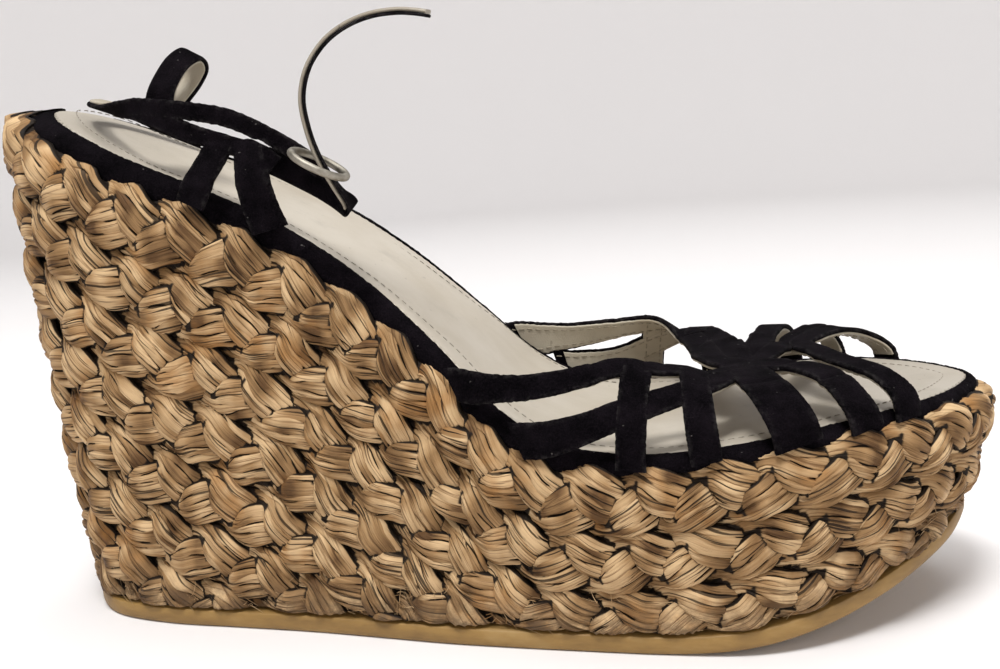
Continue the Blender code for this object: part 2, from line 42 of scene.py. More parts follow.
# The shoe's sections from the heel end to the toe end, in millimetres
shoe = {
    "heelX": -105.55, "insoleThick": 2.5, "outsoleThick": 4.0, "gap": 0.3,
    "springStart": 39.0, "springLength": 72.0, "toeSpring": 17.5,
    "columns": ("fromHeel", "height", "lateral", "medial", "soleFromHeel", "soleLateral", "soleMedial",
                "rimOut", "rimDrop", "strawOut", "strawDrop", "strawPitch"),
    "sections": np.array([
        (1.5, 124.0, 0.0, 0.0, -1.6, 0.0, 0.0, 7.0, 3.0, 11.0, -0.6, 15.0),
        (5.5, 122.6, 10.5, 10.5, 2.6, 12.7, 12.7, 6.6, 3.6, 10.2, 0.6, 15.0),
        (14.0, 118.6, 18.8, 18.8, 12.7, 23.4, 23.4, 5.6, 5.0, 8.0, 4.0, 15.0),
        (30.0, 110.7, 24.0, 24.0, 29.0, 28.6, 27.8, 4.6, 6.0, 5.6, 6.0, 15.0),
        (48.0, 102.9, 25.1, 24.8, 47.0, 30.6, 28.6, 4.3, 5.6, 5.0, 5.6, 14.8),
        (66.0, 93.8, 25.1, 23.7, 66.0, 32.6, 28.4, 4.3, 6.0, 5.0, 6.0, 14.8),
        (84.0, 81.2, 25.6, 22.8, 84.0, 35.4, 28.8, 4.3, 6.2, 5.0, 6.2, 15.2),
        (100.0, 66.6, 28.0, 24.4, 100.0, 38.0, 30.4, 4.3, 5.2, 5.0, 5.2, 15.4),
        (114.0, 52.5, 32.6, 28.8, 115.0, 39.6, 33.4, 4.3, 5.2, 4.8, 5.2, 14.6),
        (128.0, 44.8, 36.1, 33.4, 130.0, 40.8, 36.8, 4.2, 4.8, 4.4, 4.8, 13.2),
        (146.0, 43.0, 38.4, 37.6, 148.0, 42.0, 41.0, 4.0, 3.6, 3.9, 3.6, 12.2),
        (164.0, 44.6, 38.2, 38.4, 166.0, 42.0, 42.0, 3.8, 3.2, 3.8, 3.2, 11.8),
        (180.0, 46.9, 35.2, 35.6, 180.5, 37.4, 38.2, 3.6, 3.0, 3.8, 3.0, 11.8),
        (194.0, 48.3, 27.8, 30.0, 194.0, 28.6, 31.6, 3.2, 2.9, 3.9, 2.9, 11.6),
        (204.6, 48.7, 18.4, 23.1, 204.5, 18.6, 24.2, 2.8, 2.8, 4.2, 2.8, 11.4),
        (212.2, 48.7, 7.0, 15.5, 212.0, 8.0, 16.2, 2.6, 2.8, 4.4, 2.8, 11.4),
        (216.4, 48.6, -5.8, 5.8, 216.2, -5.8, 5.8, 2.6, 2.8, 4.4, 2.8, 11.4)])}


# Catmull-Rom cubic through the rows, all columns at once, with the given steps between two rows
def curveThrough(rows, steps, closed):
    rows = np.asarray(rows, float)
    if closed:
        a, b, c, d = np.roll(rows, 1, 0), rows, np.roll(rows, -1, 0), np.roll(rows, -2, 0)
    else:
        ends = np.vstack([2 * rows[0] - rows[1], rows, 2 * rows[-1] - rows[-2]])
        a, b, c, d = ends[:-3], ends[1:-2], ends[2:-1], ends[3:]
    t = (np.arange(steps) / steps)[None, :, None]
    a, b, c, d = (q[:, None, :] for q in (a, b, c, d))
    curve = 0.5 * (2 * b + (c - a) * t + (2 * a - 5 * b + 4 * c - d) * t**2 + (3 * b - a - 3 * c + d) * t**3)
    curve = curve.reshape(-1, rows.shape[1])
    return curve if closed else np.vstack([curve, rows[-1:]])


# Running length of a polyline: the summed lengths of its segments, starting at 0
def runLength(points):
    return np.concatenate([[0], np.cumsum(np.linalg.norm(np.diff(points, axis=0), axis=1))])


# The cubic through the rows, read off at even lengths close to the step
def evenCurve(rows, step):
    fine = curveThrough(rows, 16, False)
    length = runLength(fine[:, :3])
    marks = np.linspace(0, length[-1], max(2, int(round(length[-1] / step))) + 1)
    return np.stack([np.interp(marks, length, column) for column in fine.T], 1)


# Unit vectors: each row divided by its length
def unit(v):
    return v / np.maximum(np.linalg.norm(v, axis=-1, keepdims=True), 1e-12)


# Closed ring round the shoe, heel end, lateral side, toe, medial side: a dictionary of columns, with the
# outward normals of rim and sole, each the direction along the ring turned by a right angle
def outlineRing(steps):
    v = dict(zip(shoe["columns"], shoe["sections"].T))
    shared = [n for n in shoe["columns"] if n not in ("lateral", "medial", "soleLateral", "soleMedial")]
    lateral = np.stack([v[n] for n in shared] + [-v["lateral"], -v["soleLateral"]], 1)
    medial = np.stack([v[n] for n in shared] + [v["medial"], v["soleMedial"]], 1)
    curve = curveThrough(np.vstack([lateral, medial[-2:0:-1]]), steps, True)
    ring = dict(zip(shared + ["y", "soleY"], curve.T))
    ring["x"] = ring["fromHeel"] + shoe["heelX"]
    ring["soleX"] = ring["soleFromHeel"] + shoe["heelX"]
    for name, px, py in (("n", "x", "y"), ("soleN", "soleX", "soleY")):
        along = unit(np.stack([np.roll(ring[k], -1) - np.roll(ring[k], 1) for k in (px, py)], 1))
        ring[name + "x"], ring[name + "y"] = along[:, 1], -along[:, 0]
    return ring


# The sole is flat to the ball and then rises as a parabola to the toe
def soleHeight(x):
    return shoe["toeSpring"] * (np.maximum(x - shoe["springStart"], 0) / shoe["springLength"])**2


# Quads of a grid of rows by columns, each way open or closed
def gridFaces(rows, cols, closedRows, closedCols):
    r = np.arange(rows if closedRows else rows - 1)[:, None]
    c = np.arange(cols if closedCols else cols - 1)[None, :]
    rn, cn = (r + 1) % rows, (c + 1) % cols
    return np.stack([r * cols + c, r * cols + cn, rn * cols + cn, rn * cols + c], -1).reshape(-1, 4)


# The same quads again and again, the point numbers moved on by one block each time
def repeatFaces(quads, count, block):
    return (quads[None] + (np.arange(count) * block)[:, None, None]).reshape(-1, 4)


# First and last ring of a tube as two faces
def endCaps(rows, cols):
    first = np.arange(cols)
    return [first, (first + (rows - 1) * cols)[::-1]]


# Rings of points stacked level on level, with strips of quads across the first and the last ring
def stackLevels(levels):
    count = len(levels[0])
    k = np.arange(count // 2)
    strips = np.stack([k, k + 1, (count - k - 1) % count, (count - k) % count], 1)
    sides = gridFaces(len(levels), count, False, True)
    return np.vstack(levels), np.vstack([sides, strips, strips[:, ::-1] + (len(levels) - 1) * count])


meshing = {"merge": 1e-8, "holeSides": 8}


# Mesh piece from points in millimetres, quads and caps; uv and values are given per point. A closed piece
# has its double points merged, its small end holes filled and its faces turned outwards
def makePiece(name, points, quads, material, uv=None, values=None, caps=(), closed=True):
    mesh = bpy.data.meshes.new(name)
    mesh.from_pydata((points * mm).tolist(), [], quads.tolist() + [cap.tolist() for cap in caps])
    if uv is not None:
        loops = np.empty(len(mesh.loops), np.int64)
        mesh.loops.foreach_get("vertex_index", loops)
        mesh.uv_layers.new(name="UVMap").data.foreach_set("uv", uv[loops].astype(np.float32).ravel())
    for key, value in (values or {}).items():
        mesh.attributes.new(key, "FLOAT", "POINT").data.foreach_set("value", value.astype(np.float32))
    if closed:
        shell = bmesh.new()
        shell.from_mesh(mesh)
        bmesh.ops.remove_doubles(shell, verts=shell.verts[:], dist=meshing["merge"])
        bmesh.ops.dissolve_degenerate(shell, edges=shell.edges[:], dist=meshing["merge"])
        bmesh.ops.holes_fill(shell, edges=shell.edges[:], sides=meshing["holeSides"])
        bmesh.ops.recalc_face_normals(shell, faces=shell.faces[:])
        shell.to_mesh(mesh)
        shell.free()
    mesh.update()
    mesh.shade_smooth()
    mesh.materials.append(material)
    made = bpy.data.objects.new(name, mesh)
    bpy.context.scene.collection.objects.link(made)
    return made


# Parts joined to one piece: their points one after the other, the point numbers of their faces moved on
def joinParts(name, parts, material):
    starts = np.cumsum([0] + [len(part["points"]) for part in parts])
    points, uv = (np.vstack([part[n] for part in parts]) for n in ("points", "uv"))
    quads = np.vstack([part["quads"] + k for part, k in zip(parts, starts)])
    caps = [cap + k for part, k in zip(parts, starts) for cap in part["caps"]]
    values = {n: np.concatenate([part["values"][n] for part in parts]) for n in parts[0]["values"]}
    return makePiece(name, points, quads, material, uv, values, caps)


# A piece joins the shoe: rides on its body and may stand for a CAD node
def join(piece, stands=None):
    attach(piece, "root")
    if stands:
        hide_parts(stands)


# Waves: rows of share of the wavelength and weight, and the spread of the wavelengths
wavy = {"sines": ((1.0, 0.6), (0.55, 0.3), (0.3, 0.2)), "spread": (0.75, 1.25)}


# Smooth random waves: for each of count lines, a sum of three sines of whole turns over the length
def waves(count, s, length, size):
    out = np.zeros((count, len(s)))
    for share, weight in wavy["sines"]:
        turns = np.maximum(1, np.round(length / (size * share) * rng.uniform(*wavy["spread"], (count, 1))))
        out += weight * np.sin(2 * np.pi * (turns * s[None, :] / length + rng.random((count, 1))))
    return out


# Feeds an input: a link from another socket, or a plain value
def feed(tree, socket, value):
    if isinstance(value, bpy.types.NodeSocket):
        tree.links.new(value, socket)
    else:
        socket.default_value = value


# A node with its inputs fed by name
def node(tree, kind, **inputs):
    made = tree.nodes.new(kind)
    for key, value in inputs.items():
        feed(tree, made.inputs[key], value)
    return made


# Colour ramp with rows of position and linear colour
def ramp(tree, source, *rows):
    made = node(tree, "ShaderNodeValToRGB", Fac=source)
    stops = made.color_ramp.elements
    while len(stops) < len(rows):
        stops.new(0.5)
    for stop, (place, colour) in zip(stops, rows):
        stop.position = place
        stop.color = (*colour, 1.0)
    return made.outputs["Color"]


# Mix of two colours by a factor, any of them a socket or a plain value
def mix(tree, factor, a, b, blend="MIX"):
    made = tree.nodes.new("ShaderNodeMix")
    made.data_type = "RGBA"
    made.blend_type = blend
    for k, value in ((0, factor), (6, a), (7, b)):
        feed(tree, made.inputs[k], (*value, 1.0) if isinstance(value, tuple) else value)
    return made.outputs[2]


# One arithmetic step on two numbers or sockets
def calc(tree, operation, a, b):
    made = tree.nodes.new("ShaderNodeMath")
    made.operation = operation
    feed(tree, made.inputs[0], a)
    feed(tree, made.inputs[1], b)
    return made.outputs[0]


# Product of two numbers or sockets
def times(tree, a, b):
    return calc(tree, "MULTIPLY", a, b)


# A value stored on the points of the mesh, 0 on a mesh that has none
def attribute(tree, name):
    made = tree.nodes.new("ShaderNodeAttribute")
    made.attribute_name = name
    return made.outputs["Fac"]


# A material with its tree, its shader and its coordinates
def newMaterial(name, **sockets):
    material = bpy.data.materials.new(name)
    material.use_nodes = True
    tree = material.node_tree
    shader = tree.nodes["Principled BSDF"]
    for key, value in sockets.items():
        shader.inputs[key.replace("_", " ")].default_value = value
    where = tree.nodes.new("ShaderNodeTexCoord")
    return material, tree, shader, where


# Noise read at one scale, or at a scale for each axis
def noise(tree, where, scale, detail, rough):
    scale = scale if isinstance(scale, tuple) else (scale, scale, scale)
    mapping = node(tree, "ShaderNodeMapping", Vector=where, Scale=scale)
    made = node(tree, "ShaderNodeTexNoise", Vector=mapping.outputs[0], Scale=1.0, Detail=detail,
                Roughness=rough)
    return made.outputs["Fac"]


black, white = (0.0, 0.0, 0.0), (1.0, 1.0, 1.0)


# Noise cut into patches: 0 up to the low level, 1 from the high level on
def patches(tree, where, scale, detail, rough, low, high):
    return ramp(tree, noise(tree, where, scale, detail, rough), (low, black), (high, white))


# Colour into the shader
def paint(tree, shader, colour):
    tree.links.new(colour, shader.inputs["Base Color"])


# Fine relief from a height, with its strength and its distance in metres
def bump(tree, shader, height, strength, distance):
    made = node(tree, "ShaderNodeBump", Height=height, Strength=strength, Distance=distance)
    tree.links.new(made.outputs[0], shader.inputs["Normal"])


# Straw colours; the near-black slit colour is painted shade, used in the slits between blades and in the
# crevices between leaves
strawLook = {"pale": (0.60, 0.415, 0.227), "mid": (0.325, 0.193, 0.086), "deep": (0.11, 0.056, 0.022),
             "stain": (0.36, 0.165, 0.045), "fibre": (0.24, 0.17, 0.12), "shadedSlit": (0.010, 0.006, 0.0035),
             "grime": (0.12, 0.078, 0.045), "stainShare": 0.5, "fibreShare": 0.8, "slitShare": 0.85,
             "grimeShare": 0.85, "creviceShadeShare": 0.99, "relief": 0.0005}


# Straw: long blades with their own tone, fine lengthwise fibres, ochre stains, and painted shade in the slits
# and in the crevices between the leaves
def strawMaterial():
    look = strawLook
    material, tree, shader, where = newMaterial("plaitedStraw", Roughness=0.6, Specular_IOR_Level=0.14)
    uv, place = where.outputs["UV"], where.outputs["Object"]
    tone, creviceShade, soil = (attribute(tree, name) for name in ("tone", "creviceShade", "soil"))
    streak = noise(tree, uv, (0.03, 1.2, 1.0), 4.0, 0.6)
    fibre = noise(tree, uv, (0.05, 2.9, 1.0), 4.0, 0.65)
    shade = calc(tree, "ADD", times(tree, tone, 0.6), times(tree, streak, 0.45))
    colour = ramp(tree, shade, (0.20, look["deep"]), (0.46, look["mid"]), (0.78, look["pale"]))
    stain = patches(tree, place, 75, 3.0, 0.6, 0.55, 0.68)
    colour = mix(tree, times(tree, stain, look["stainShare"]), colour, look["stain"])
    fine = ramp(tree, fibre, (0.37, look["fibre"]), (0.47, white))
    colour = mix(tree, look["fibreShare"], colour, fine, "MULTIPLY")
    # painted shade: the slits between the blades are darkened towards the near-black slit colour
    shadedSlit = ramp(tree, noise(tree, uv, (0.05, 1.7, 1.0), 2.0, 0.5), (0.365, white), (0.388, black))
    colour = mix(tree, times(tree, shadedSlit, look["slitShare"]), colour, look["shadedSlit"])
    dusty = patches(tree, place, (380, 380, 520), 5.0, 0.7, 0.36, 0.58)
    colour = mix(tree, times(tree, times(tree, dusty, soil), look["grimeShare"]), colour, look["grime"])
    # painted shade: the crevices between and under the leaves are darkened to the near-black slit colour
    crisp = ramp(tree, creviceShade, (0.36, black), (0.56, white))
    paint(tree, shader, mix(tree, times(tree, crisp, look["creviceShadeShare"]), colour, look["shadedSlit"]))
    height = calc(tree, "SUBTRACT", calc(tree, "ADD", fibre, streak), times(tree, shadedSlit, 1.2))
    bump(tree, shader, height, 0.8, look["relief"])
    return material


coreShadeLook = {"dark": (0.010, 0.006, 0.004), "brown": (0.05, 0.03, 0.014)}


# Core under the plaits: deep brown with straw fibres, near black as painted shade in the gaps between the
# plaits
def coreShadeMaterial():
    material, tree, shader, where = newMaterial("strawCore", Roughness=0.9, Specular_IOR_Level=0.1)
    fibre = noise(tree, where.outputs["Object"], (300, 300, 900), 4.0, 0.6)
    paint(tree, shader, ramp(tree, fibre, (0.3, coreShadeLook["dark"]), (0.7, coreShadeLook["brown"])))
    bump(tree, shader, fibre, 0.5, 0.0004)
    return material


suedeLook = {"dark": (0.0008, 0.0006, 0.0009), "nap": (0.0075, 0.0056, 0.0075), "dust": (0.13, 0.12, 0.115),
             "sheen": (0.80, 0.76, 0.82, 1.0), "lintShare": 0.6, "scuffShare": 0.16}


# Suede: near-black nap in slow light and dark patches, fine fuzz, dust on worn edges, a few specks of lint
def suedeMaterial():
    look = suedeLook
    material, tree, shader, where = newMaterial("blackSuede", Roughness=1.0, Specular_IOR_Level=0.03,
                                                Sheen_Weight=0.004, Sheen_Roughness=0.5,
                                                Sheen_Tint=look["sheen"])
    place = where.outputs["Object"]
    fuzz = noise(tree, place, 2600, 2.0, 0.7)
    patch = noise(tree, place, 170, 3.0, 0.6)
    both = calc(tree, "ADD", times(tree, fuzz, 0.5), times(tree, patch, 0.5))
    colour = ramp(tree, both, (0.38, look["dark"]), (0.66, look["nap"]))
    lint = patches(tree, place, 900, 1.0, 0.5, 0.765, 0.80)
    colour = mix(tree, times(tree, lint, look["lintShare"]), colour, look["dust"])
    scuff = times(tree, patches(tree, place, 700, 4.0, 0.7, 0.45, 0.66), attribute(tree, "worn"))
    paint(tree, shader, mix(tree, times(tree, scuff, look["scuffShare"]), colour, look["dust"]))
    bump(tree, shader, both, 0.9, 0.0006)
    return material


# Clean, warm and soiled colour of each cream leather, and how far it is soiled. The lining's cream is darker
# than the footbed's as painted shade for the shade the linings lie in; the ankle strap's lining is a darker,
# more soiled copy of it
creamLooks = {"creamLeather": ((0.465, 0.42, 0.35), (0.40, 0.352, 0.28), (0.20, 0.175, 0.145), 0.35),
              "shadedLiningCream": ((0.42, 0.375, 0.29), (0.33, 0.28, 0.205), (0.17, 0.145, 0.11), 0.5),
              "darkerLining": ((0.34, 0.30, 0.235), (0.24, 0.205, 0.155), (0.085, 0.07, 0.055), 0.8)}


# Cream leather: a fine grain, faint yellowing, grey soiling, small marks and the grey of trodden places
def creamMaterial(name, clean, warm, soil, soiling):
    material, tree, shader, where = newMaterial(name, Roughness=0.5)
    place = where.outputs["Object"]
    slow = noise(tree, place, 38, 4.0, 0.6)
    colour = ramp(tree, slow, (0.35, warm), (0.62, clean))
    dirt = patches(tree, place, 110, 5.0, 0.65, 0.58, 0.80)
    mark = patches(tree, place, (700, 420, 420), 1.0, 0.5, 0.755, 0.79)
    for cover in (times(tree, dirt, soiling), times(tree, mark, soiling), attribute(tree, "trodden")):
        colour = mix(tree, cover, colour, soil)
    paint(tree, shader, colour)
    grain = node(tree, "ShaderNodeTexVoronoi", Vector=place, Scale=1500.0)
    grain.feature = "DISTANCE_TO_EDGE"
    bump(tree, shader, calc(tree, "ADD", times(tree, grain.outputs["Distance"], 0.8), slow), 0.18, 0.0004)
    return material


outsoleLook = {"tan": (0.27, 0.155, 0.040), "brown": (0.19, 0.105, 0.027), "worn": (0.34, 0.215, 0.075)}


# Outsole rubber: golden tan, mottled in brown and in a rubbed, paler tan
def outsoleMaterial():
    look = outsoleLook
    material, tree, shader, where = newMaterial("tanRubber", Roughness=0.55)
    mottle = noise(tree, where.outputs["Object"], (70, 70, 220), 4.0, 0.6)
    fine = noise(tree, where.outputs["Object"], 900, 2.0, 0.6)
    paint(tree, shader, ramp(tree, mottle, (0.32, look["brown"]), (0.55, look["tan"]), (0.8, look["worn"])))
    bump(tree, shader, calc(tree, "ADD", mottle, fine), 0.25, 0.0003)
    return material


nickelLook = {"dull": (0.20, 0.18, 0.145), "bright": (0.42, 0.39, 0.33), "roughness": 0.40, "smeared": 0.30}


# Dull nickel wire with small pits and smears, rougher where it is smeared
def nickelMaterial():
    material, tree, shader, where = newMaterial("dullNickel", Metallic=1.0)
    smear = noise(tree, where.outputs["Object"], 400, 4.0, 0.6)
    paint(tree, shader, ramp(tree, smear, (0.3, nickelLook["dull"]), (0.7, nickelLook["bright"])))
    rough = calc(tree, "ADD", times(tree, smear, nickelLook["smeared"]), nickelLook["roughness"])
    tree.links.new(rough, shader.inputs["Roughness"])
    bump(tree, shader, smear, 0.15, 0.0002)
    return material


threadLooks = {"greyThread": ((0.20, 0.18, 0.15), (0.34, 0.305, 0.25)),
               "beigeThread": ((0.16, 0.135, 0.095), (0.34, 0.29, 0.21))}


# Sewing thread: two tones of one colour by a fine twist
def threadMaterial(name, low, high):
    material, tree, shader, where = newMaterial(name, Roughness=0.7)
    twist = noise(tree, where.outputs["Object"], 1800, 2.0, 0.6)
    paint(tree, shader, ramp(tree, twist, (0.3, low), (0.7, high)))
    return material


straw, core, suede = strawMaterial(), coreShadeMaterial(), suedeMaterial()
cream, liningCreamShaded, darkerLining = (creamMaterial(name, *look) for name, look in creamLooks.items())
tan, nickel = outsoleMaterial(), nickelMaterial()
thread, liningThread = (threadMaterial(name, *look) for name, look in threadLooks.items())
print("materials made")

# Edge of the outsole: rows of inset and rise, from the top over the rounded edge to the ground
outsoleSizes = {"steps": 12, "edge": ((6.0, 4.0), (0.25, 4.0), (0.0, 3.7), (0.0, 1.0), (0.25, 0.35),
                                      (0.9, 0.0), (6.0, 0.0))}


# Outsole: the sole's plan carried through the edge's rows, drawn in by their insets, closed by strips across
def makeOutsole():
    ring = outlineRing(outsoleSizes["steps"])
    levels = []
    for inset, rise in outsoleSizes["edge"]:
        x, y = ring["soleX"] - inset * ring["soleNx"], ring["soleY"] - inset * ring["soleNy"]
        levels.append(np.stack([x, y, soleHeight(x) + rise], 1))
    join(makePiece("outsoleSheet", *stackLevels(levels), tan), "outsole")


makeOutsole()
print("outsole made")

# Straw side: a surface over the ring round the shoe and the drop below the rim
side = {"steps": 24, "inset": 2.0, "taper": 1.5, "foot": 0.5, "turnIn": 1.1, "bendFrom": 0.6, "bendOver": 3.0,
        "bendShare": 0.8, "alongStep": 0.5, "downStep": 0.6}
sideRing = outlineRing(side["steps"])
sideCount = len(sideRing["x"])


# Columns of the ring at fractional places, by straight lines between its points
def ringAt(place, *names):
    place = np.mod(place, sideCount)
    low = np.floor(place).astype(int) % sideCount
    share = place - np.floor(place)
    high = (low + 1) % sideCount
    return [sideRing[n][low] * (1 - share) + sideRing[n][high] * share for n in names]


# Height of the straw side: its top under the rim, and the depth from there down to the outsole
def sideTopAndDepth(place):
    height, drop, soleX = ringAt(place, "height", "strawDrop", "soleX")
    top = height - drop - shoe["gap"]
    return top, top - soleHeight(soleX) - shoe["outsoleThick"] - shoe["gap"]


# Point of the side: from the rim's plan to the sole's plan by a power of the drop's share of the depth
def sidePoint(place, drop):
    x, y, nx, ny, soleX, soleY, out = ringAt(place, "x", "y", "nx", "ny", "soleX", "soleY", "strawOut")
    top, depth = sideTopAndDepth(place)
    share = np.clip(drop / depth, 0, 1)**side["taper"]
    px = (1 - share) * (x + out * nx) + share * (soleX - side["inset"] * nx)
    py = (1 - share) * (y + out * ny) + share * (soleY - side["inset"] * ny)
    return np.stack([px, py, top - drop], -1)


# Step along the side: the point a little ahead less the point a little behind
def sideStep(place, drop):
    return sidePoint(place + side["alongStep"], drop) - sidePoint(place - side["alongStep"], drop)


# Point lifted off the side along its normal; below the sole line it turns inwards along the outsole, and
# above the top it goes on upwards, or bends inwards where the rim lies further in than the straw
def liftedPoint(place, drop, lift):
    within = np.clip(drop, 0, sideTopAndDepth(place)[1] - side["foot"])
    base = sidePoint(place, within)
    nx, ny, out, rimOut = ringAt(place, "nx", "ny", "strawOut", "rimOut")
    bend = np.clip((out - rimOut - side["bendFrom"]) / side["bendOver"], 0, 1)
    over = np.maximum(-drop, 0)
    base = base + np.stack([-over * bend * nx, -over * bend * ny, over * (1 - side["bendShare"] * bend)], -1)
    down = sidePoint(place, within + side["downStep"]) - sidePoint(place, within)
    normal = unit(np.cross(down, sideStep(place, within)))
    normal[..., 2] *= np.where(drop > within, 0.0, 1.0)
    inward = np.maximum(drop - within, 0)
    return base + (lift - side["turnIn"] * inward)[..., None] * normal


coreSizes = {"levels": 40, "sunk": 1.2, "foot": 0.6, "underInsole": 0.6, "innerX": 0.98, "innerY": 0.9}


# Core: the straw side sunk a little, level below level, with a smaller ring at the top and at the foot
def makeCore():
    place, sunk = np.arange(sideCount, dtype=float), np.full(sideCount, -coreSizes["sunk"])
    depth = sideTopAndDepth(place)[1] - coreSizes["foot"]
    levels = [liftedPoint(place, share * depth, sunk) for share in np.linspace(0, 1, coreSizes["levels"])]
    topZ = sideRing["height"] - shoe["insoleThick"] - coreSizes["underInsole"]
    first, last = (np.stack([sideRing["x"] * coreSizes["innerX"], sideRing["y"] * coreSizes["innerY"], z], 1)
                   for z in (topZ, levels[-1][:, 2]))
    join(makePiece("strawCore", *stackLevels([first, *levels, last]), core), "wedge")


makeCore()
print("core made")

# Plaits: three flat bundles of leaf blades that cross as outer over middle, row below row. A wander is an
# amount and a wavelength in millimetres along the bundle
plait = {"rowHeight": 10.3, "period": 41.5, "strands": 3, "rowShift": 0.37, "rows": 12, "shortest": 30.0,
         "hang": 0.62, "steepest": 1.2, "swing": 3.7, "straight": 0.09, "lift": 0.35, "rise": 1.55,
         "edgeDrop": 1.0, "topStretch": 0.22, "width": 7.9, "half": 0.95, "narrow": 0.58, "neckAt": 0.02,
         "neckLong": 0.27, "endLong": 3.0, "endShare": 0.05, "segment": 1.2, "turnWander": (0.16, 32.0),
         "swingWander": (0.09, 24.0), "widthWander": (0.09, 19.0), "liftWander": (0.18, 21.0),
         "shadeReach": 0.45, "shadeShare": 0.64, "borderSteep": 9, "borderShade": 0.8, "soilHigh": 9.0,
         "uvStrand": (61.0, 9.0), "uvRow": (400.0, 31.0)}
blade = {"count": 5, "least": 0.55, "most": 1.5, "arch": 0.28, "gape": 0.16, "slitDepth": 0.9,
         "across": np.array([0.025, 0.13, 0.34, 0.66, 0.87, 0.975]),
         "slitShare": np.array([1.0, 0.18, 0.0, 0.0, 0.18, 1.0]),
         "lensPower": 3.2, "lensRound": 0.6, "lensHigh": 1.75, "edgeRelief": 0.3,
         "borderWander": (0.085, 28.0), "stepWander": (0.22, 23.0), "tiltWander": (0.5, 27.0),
         "gapeWander": (1.7, 15.0), "toneWander": (0.42, 24.0), "patchWander": (0.30, 15.0),
         "toneSpread": 0.15, "underAt": (0.86, 0.5, 0.14), "underDeep": (0.8, 1.0, 0.8),
         "underTone": 0.4, "underShade": 0.8, "neckGain": 2.4, "neckLess": 1.2, "sunkShade": 0.7,
         "sunkFrom": 0.25, "edgeShade": 1.8, "edgeFade": 3.2}


# Wander of some lines: the amount times smooth waves of the wavelength
def wander(amountAndSize, count, s, total):
    amount, size = amountAndSize
    return amount * waves(count, s, total, size)


# Pitch and drop of a row at places of the ring, and where it shows: its middle hangs less than a share of
# the pitch below the sole line
def rowDrop(row, place):
    pitch, = ringAt(place, "strawPitch")
    drop = pitch * (row + 0.5)
    return pitch, drop, drop < sideTopAndDepth(place)[1] + plait["hang"] * pitch


# Stretch of ring on which a row shows, all of it or the arc round the heel, with its running length and slope
def rowPath(row):
    place = np.arange(sideCount + 1, dtype=float)
    pitch, drop, shown = rowDrop(row, place)
    closed = bool(shown.all())
    if not closed:
        first = int(np.argmin(shown))
        last = len(place) - 1 - int(np.argmin(shown[::-1]))
        place = np.arange(last, sideCount + first + 1, dtype=float)
        pitch, drop, shown = rowDrop(row, place)
    top, depth = sideTopAndDepth(place)
    middle = sidePoint(place, np.minimum(drop, depth))
    middle[:, 2] = top - drop
    level = np.linalg.norm(np.gradient(middle[:, :2], axis=0), axis=1)
    slope = -np.gradient(middle[:, 2]) / np.maximum(level, 1e-6)
    length = runLength(middle)
    return {"place": place, "pitch": pitch, "length": length, "total": length[-1], "closed": closed,
            "slope": np.clip(slope, -plait["steepest"], plait["steepest"])}


# Run of one bundle along its row: across the row it swings as a cosine, off the side it rises as the sine of
# twice the angle, and it has a narrow neck where it comes over the edge
def strandRun(row, strand, path):
    total, closed = path["total"], path["closed"]
    periods = max(1, round(total / plait["period"])) if closed else total / plait["period"]
    s = np.linspace(0, total, int(total / plait["segment"]), endpoint=not closed)
    turn = 2 * np.pi * (s / total * periods + strand / plait["strands"] + plait["rowShift"] * row)
    turn = turn + wander(plait["turnWander"], 1, s, total)[0]
    swing = plait["swing"] * (1 + wander(plait["swingWander"], 1, s, total)[0])
    t = swing * (np.cos(turn) + plait["straight"] * np.cos(3 * turn)) / (1 + plait["straight"])
    neck = np.mod(turn - plait["neckAt"] + np.pi / 2, np.pi) - np.pi / 2
    width = plait["width"] * (1 - plait["narrow"] * np.exp(-0.5 * (neck / plait["neckLong"])**2))
    width = width * (1 + wander(plait["widthWander"], 1, s, total)[0])
    uneven = 1 + wander(plait["liftWander"], 1, s, total)[0]
    lift = plait["lift"] + plait["rise"] * np.sin(2 * turn) * uneven
    if not closed:
        width = width * np.clip(np.minimum(s, total - s) / plait["endLong"], plait["endShare"], 1)
    lean = np.gradient(t, s)
    return {"s": s, "turn": turn, "t": t, "lean": lean, "norm": np.sqrt(1 + lean**2), "width": width,
            "lift": lift}


# Shade on a bundle under and beside the leaves over it: 1 to their edge, then falling to 0 at the reach
def contactShade(along, across, own, others, total):
    shade = np.zeros(across.shape)
    for other in others:
        t, width, norm, lift = (np.interp(along, other["s"], other[n], period=total)
                                for n in ("t", "width", "norm", "lift"))
        beyond = np.maximum(np.abs(across - t) / norm - width / 2, 0)
        shade = np.maximum(shade, np.clip(1 - beyond / plait["shadeReach"], 0, 1) * (lift > own["lift"]))
    return shade
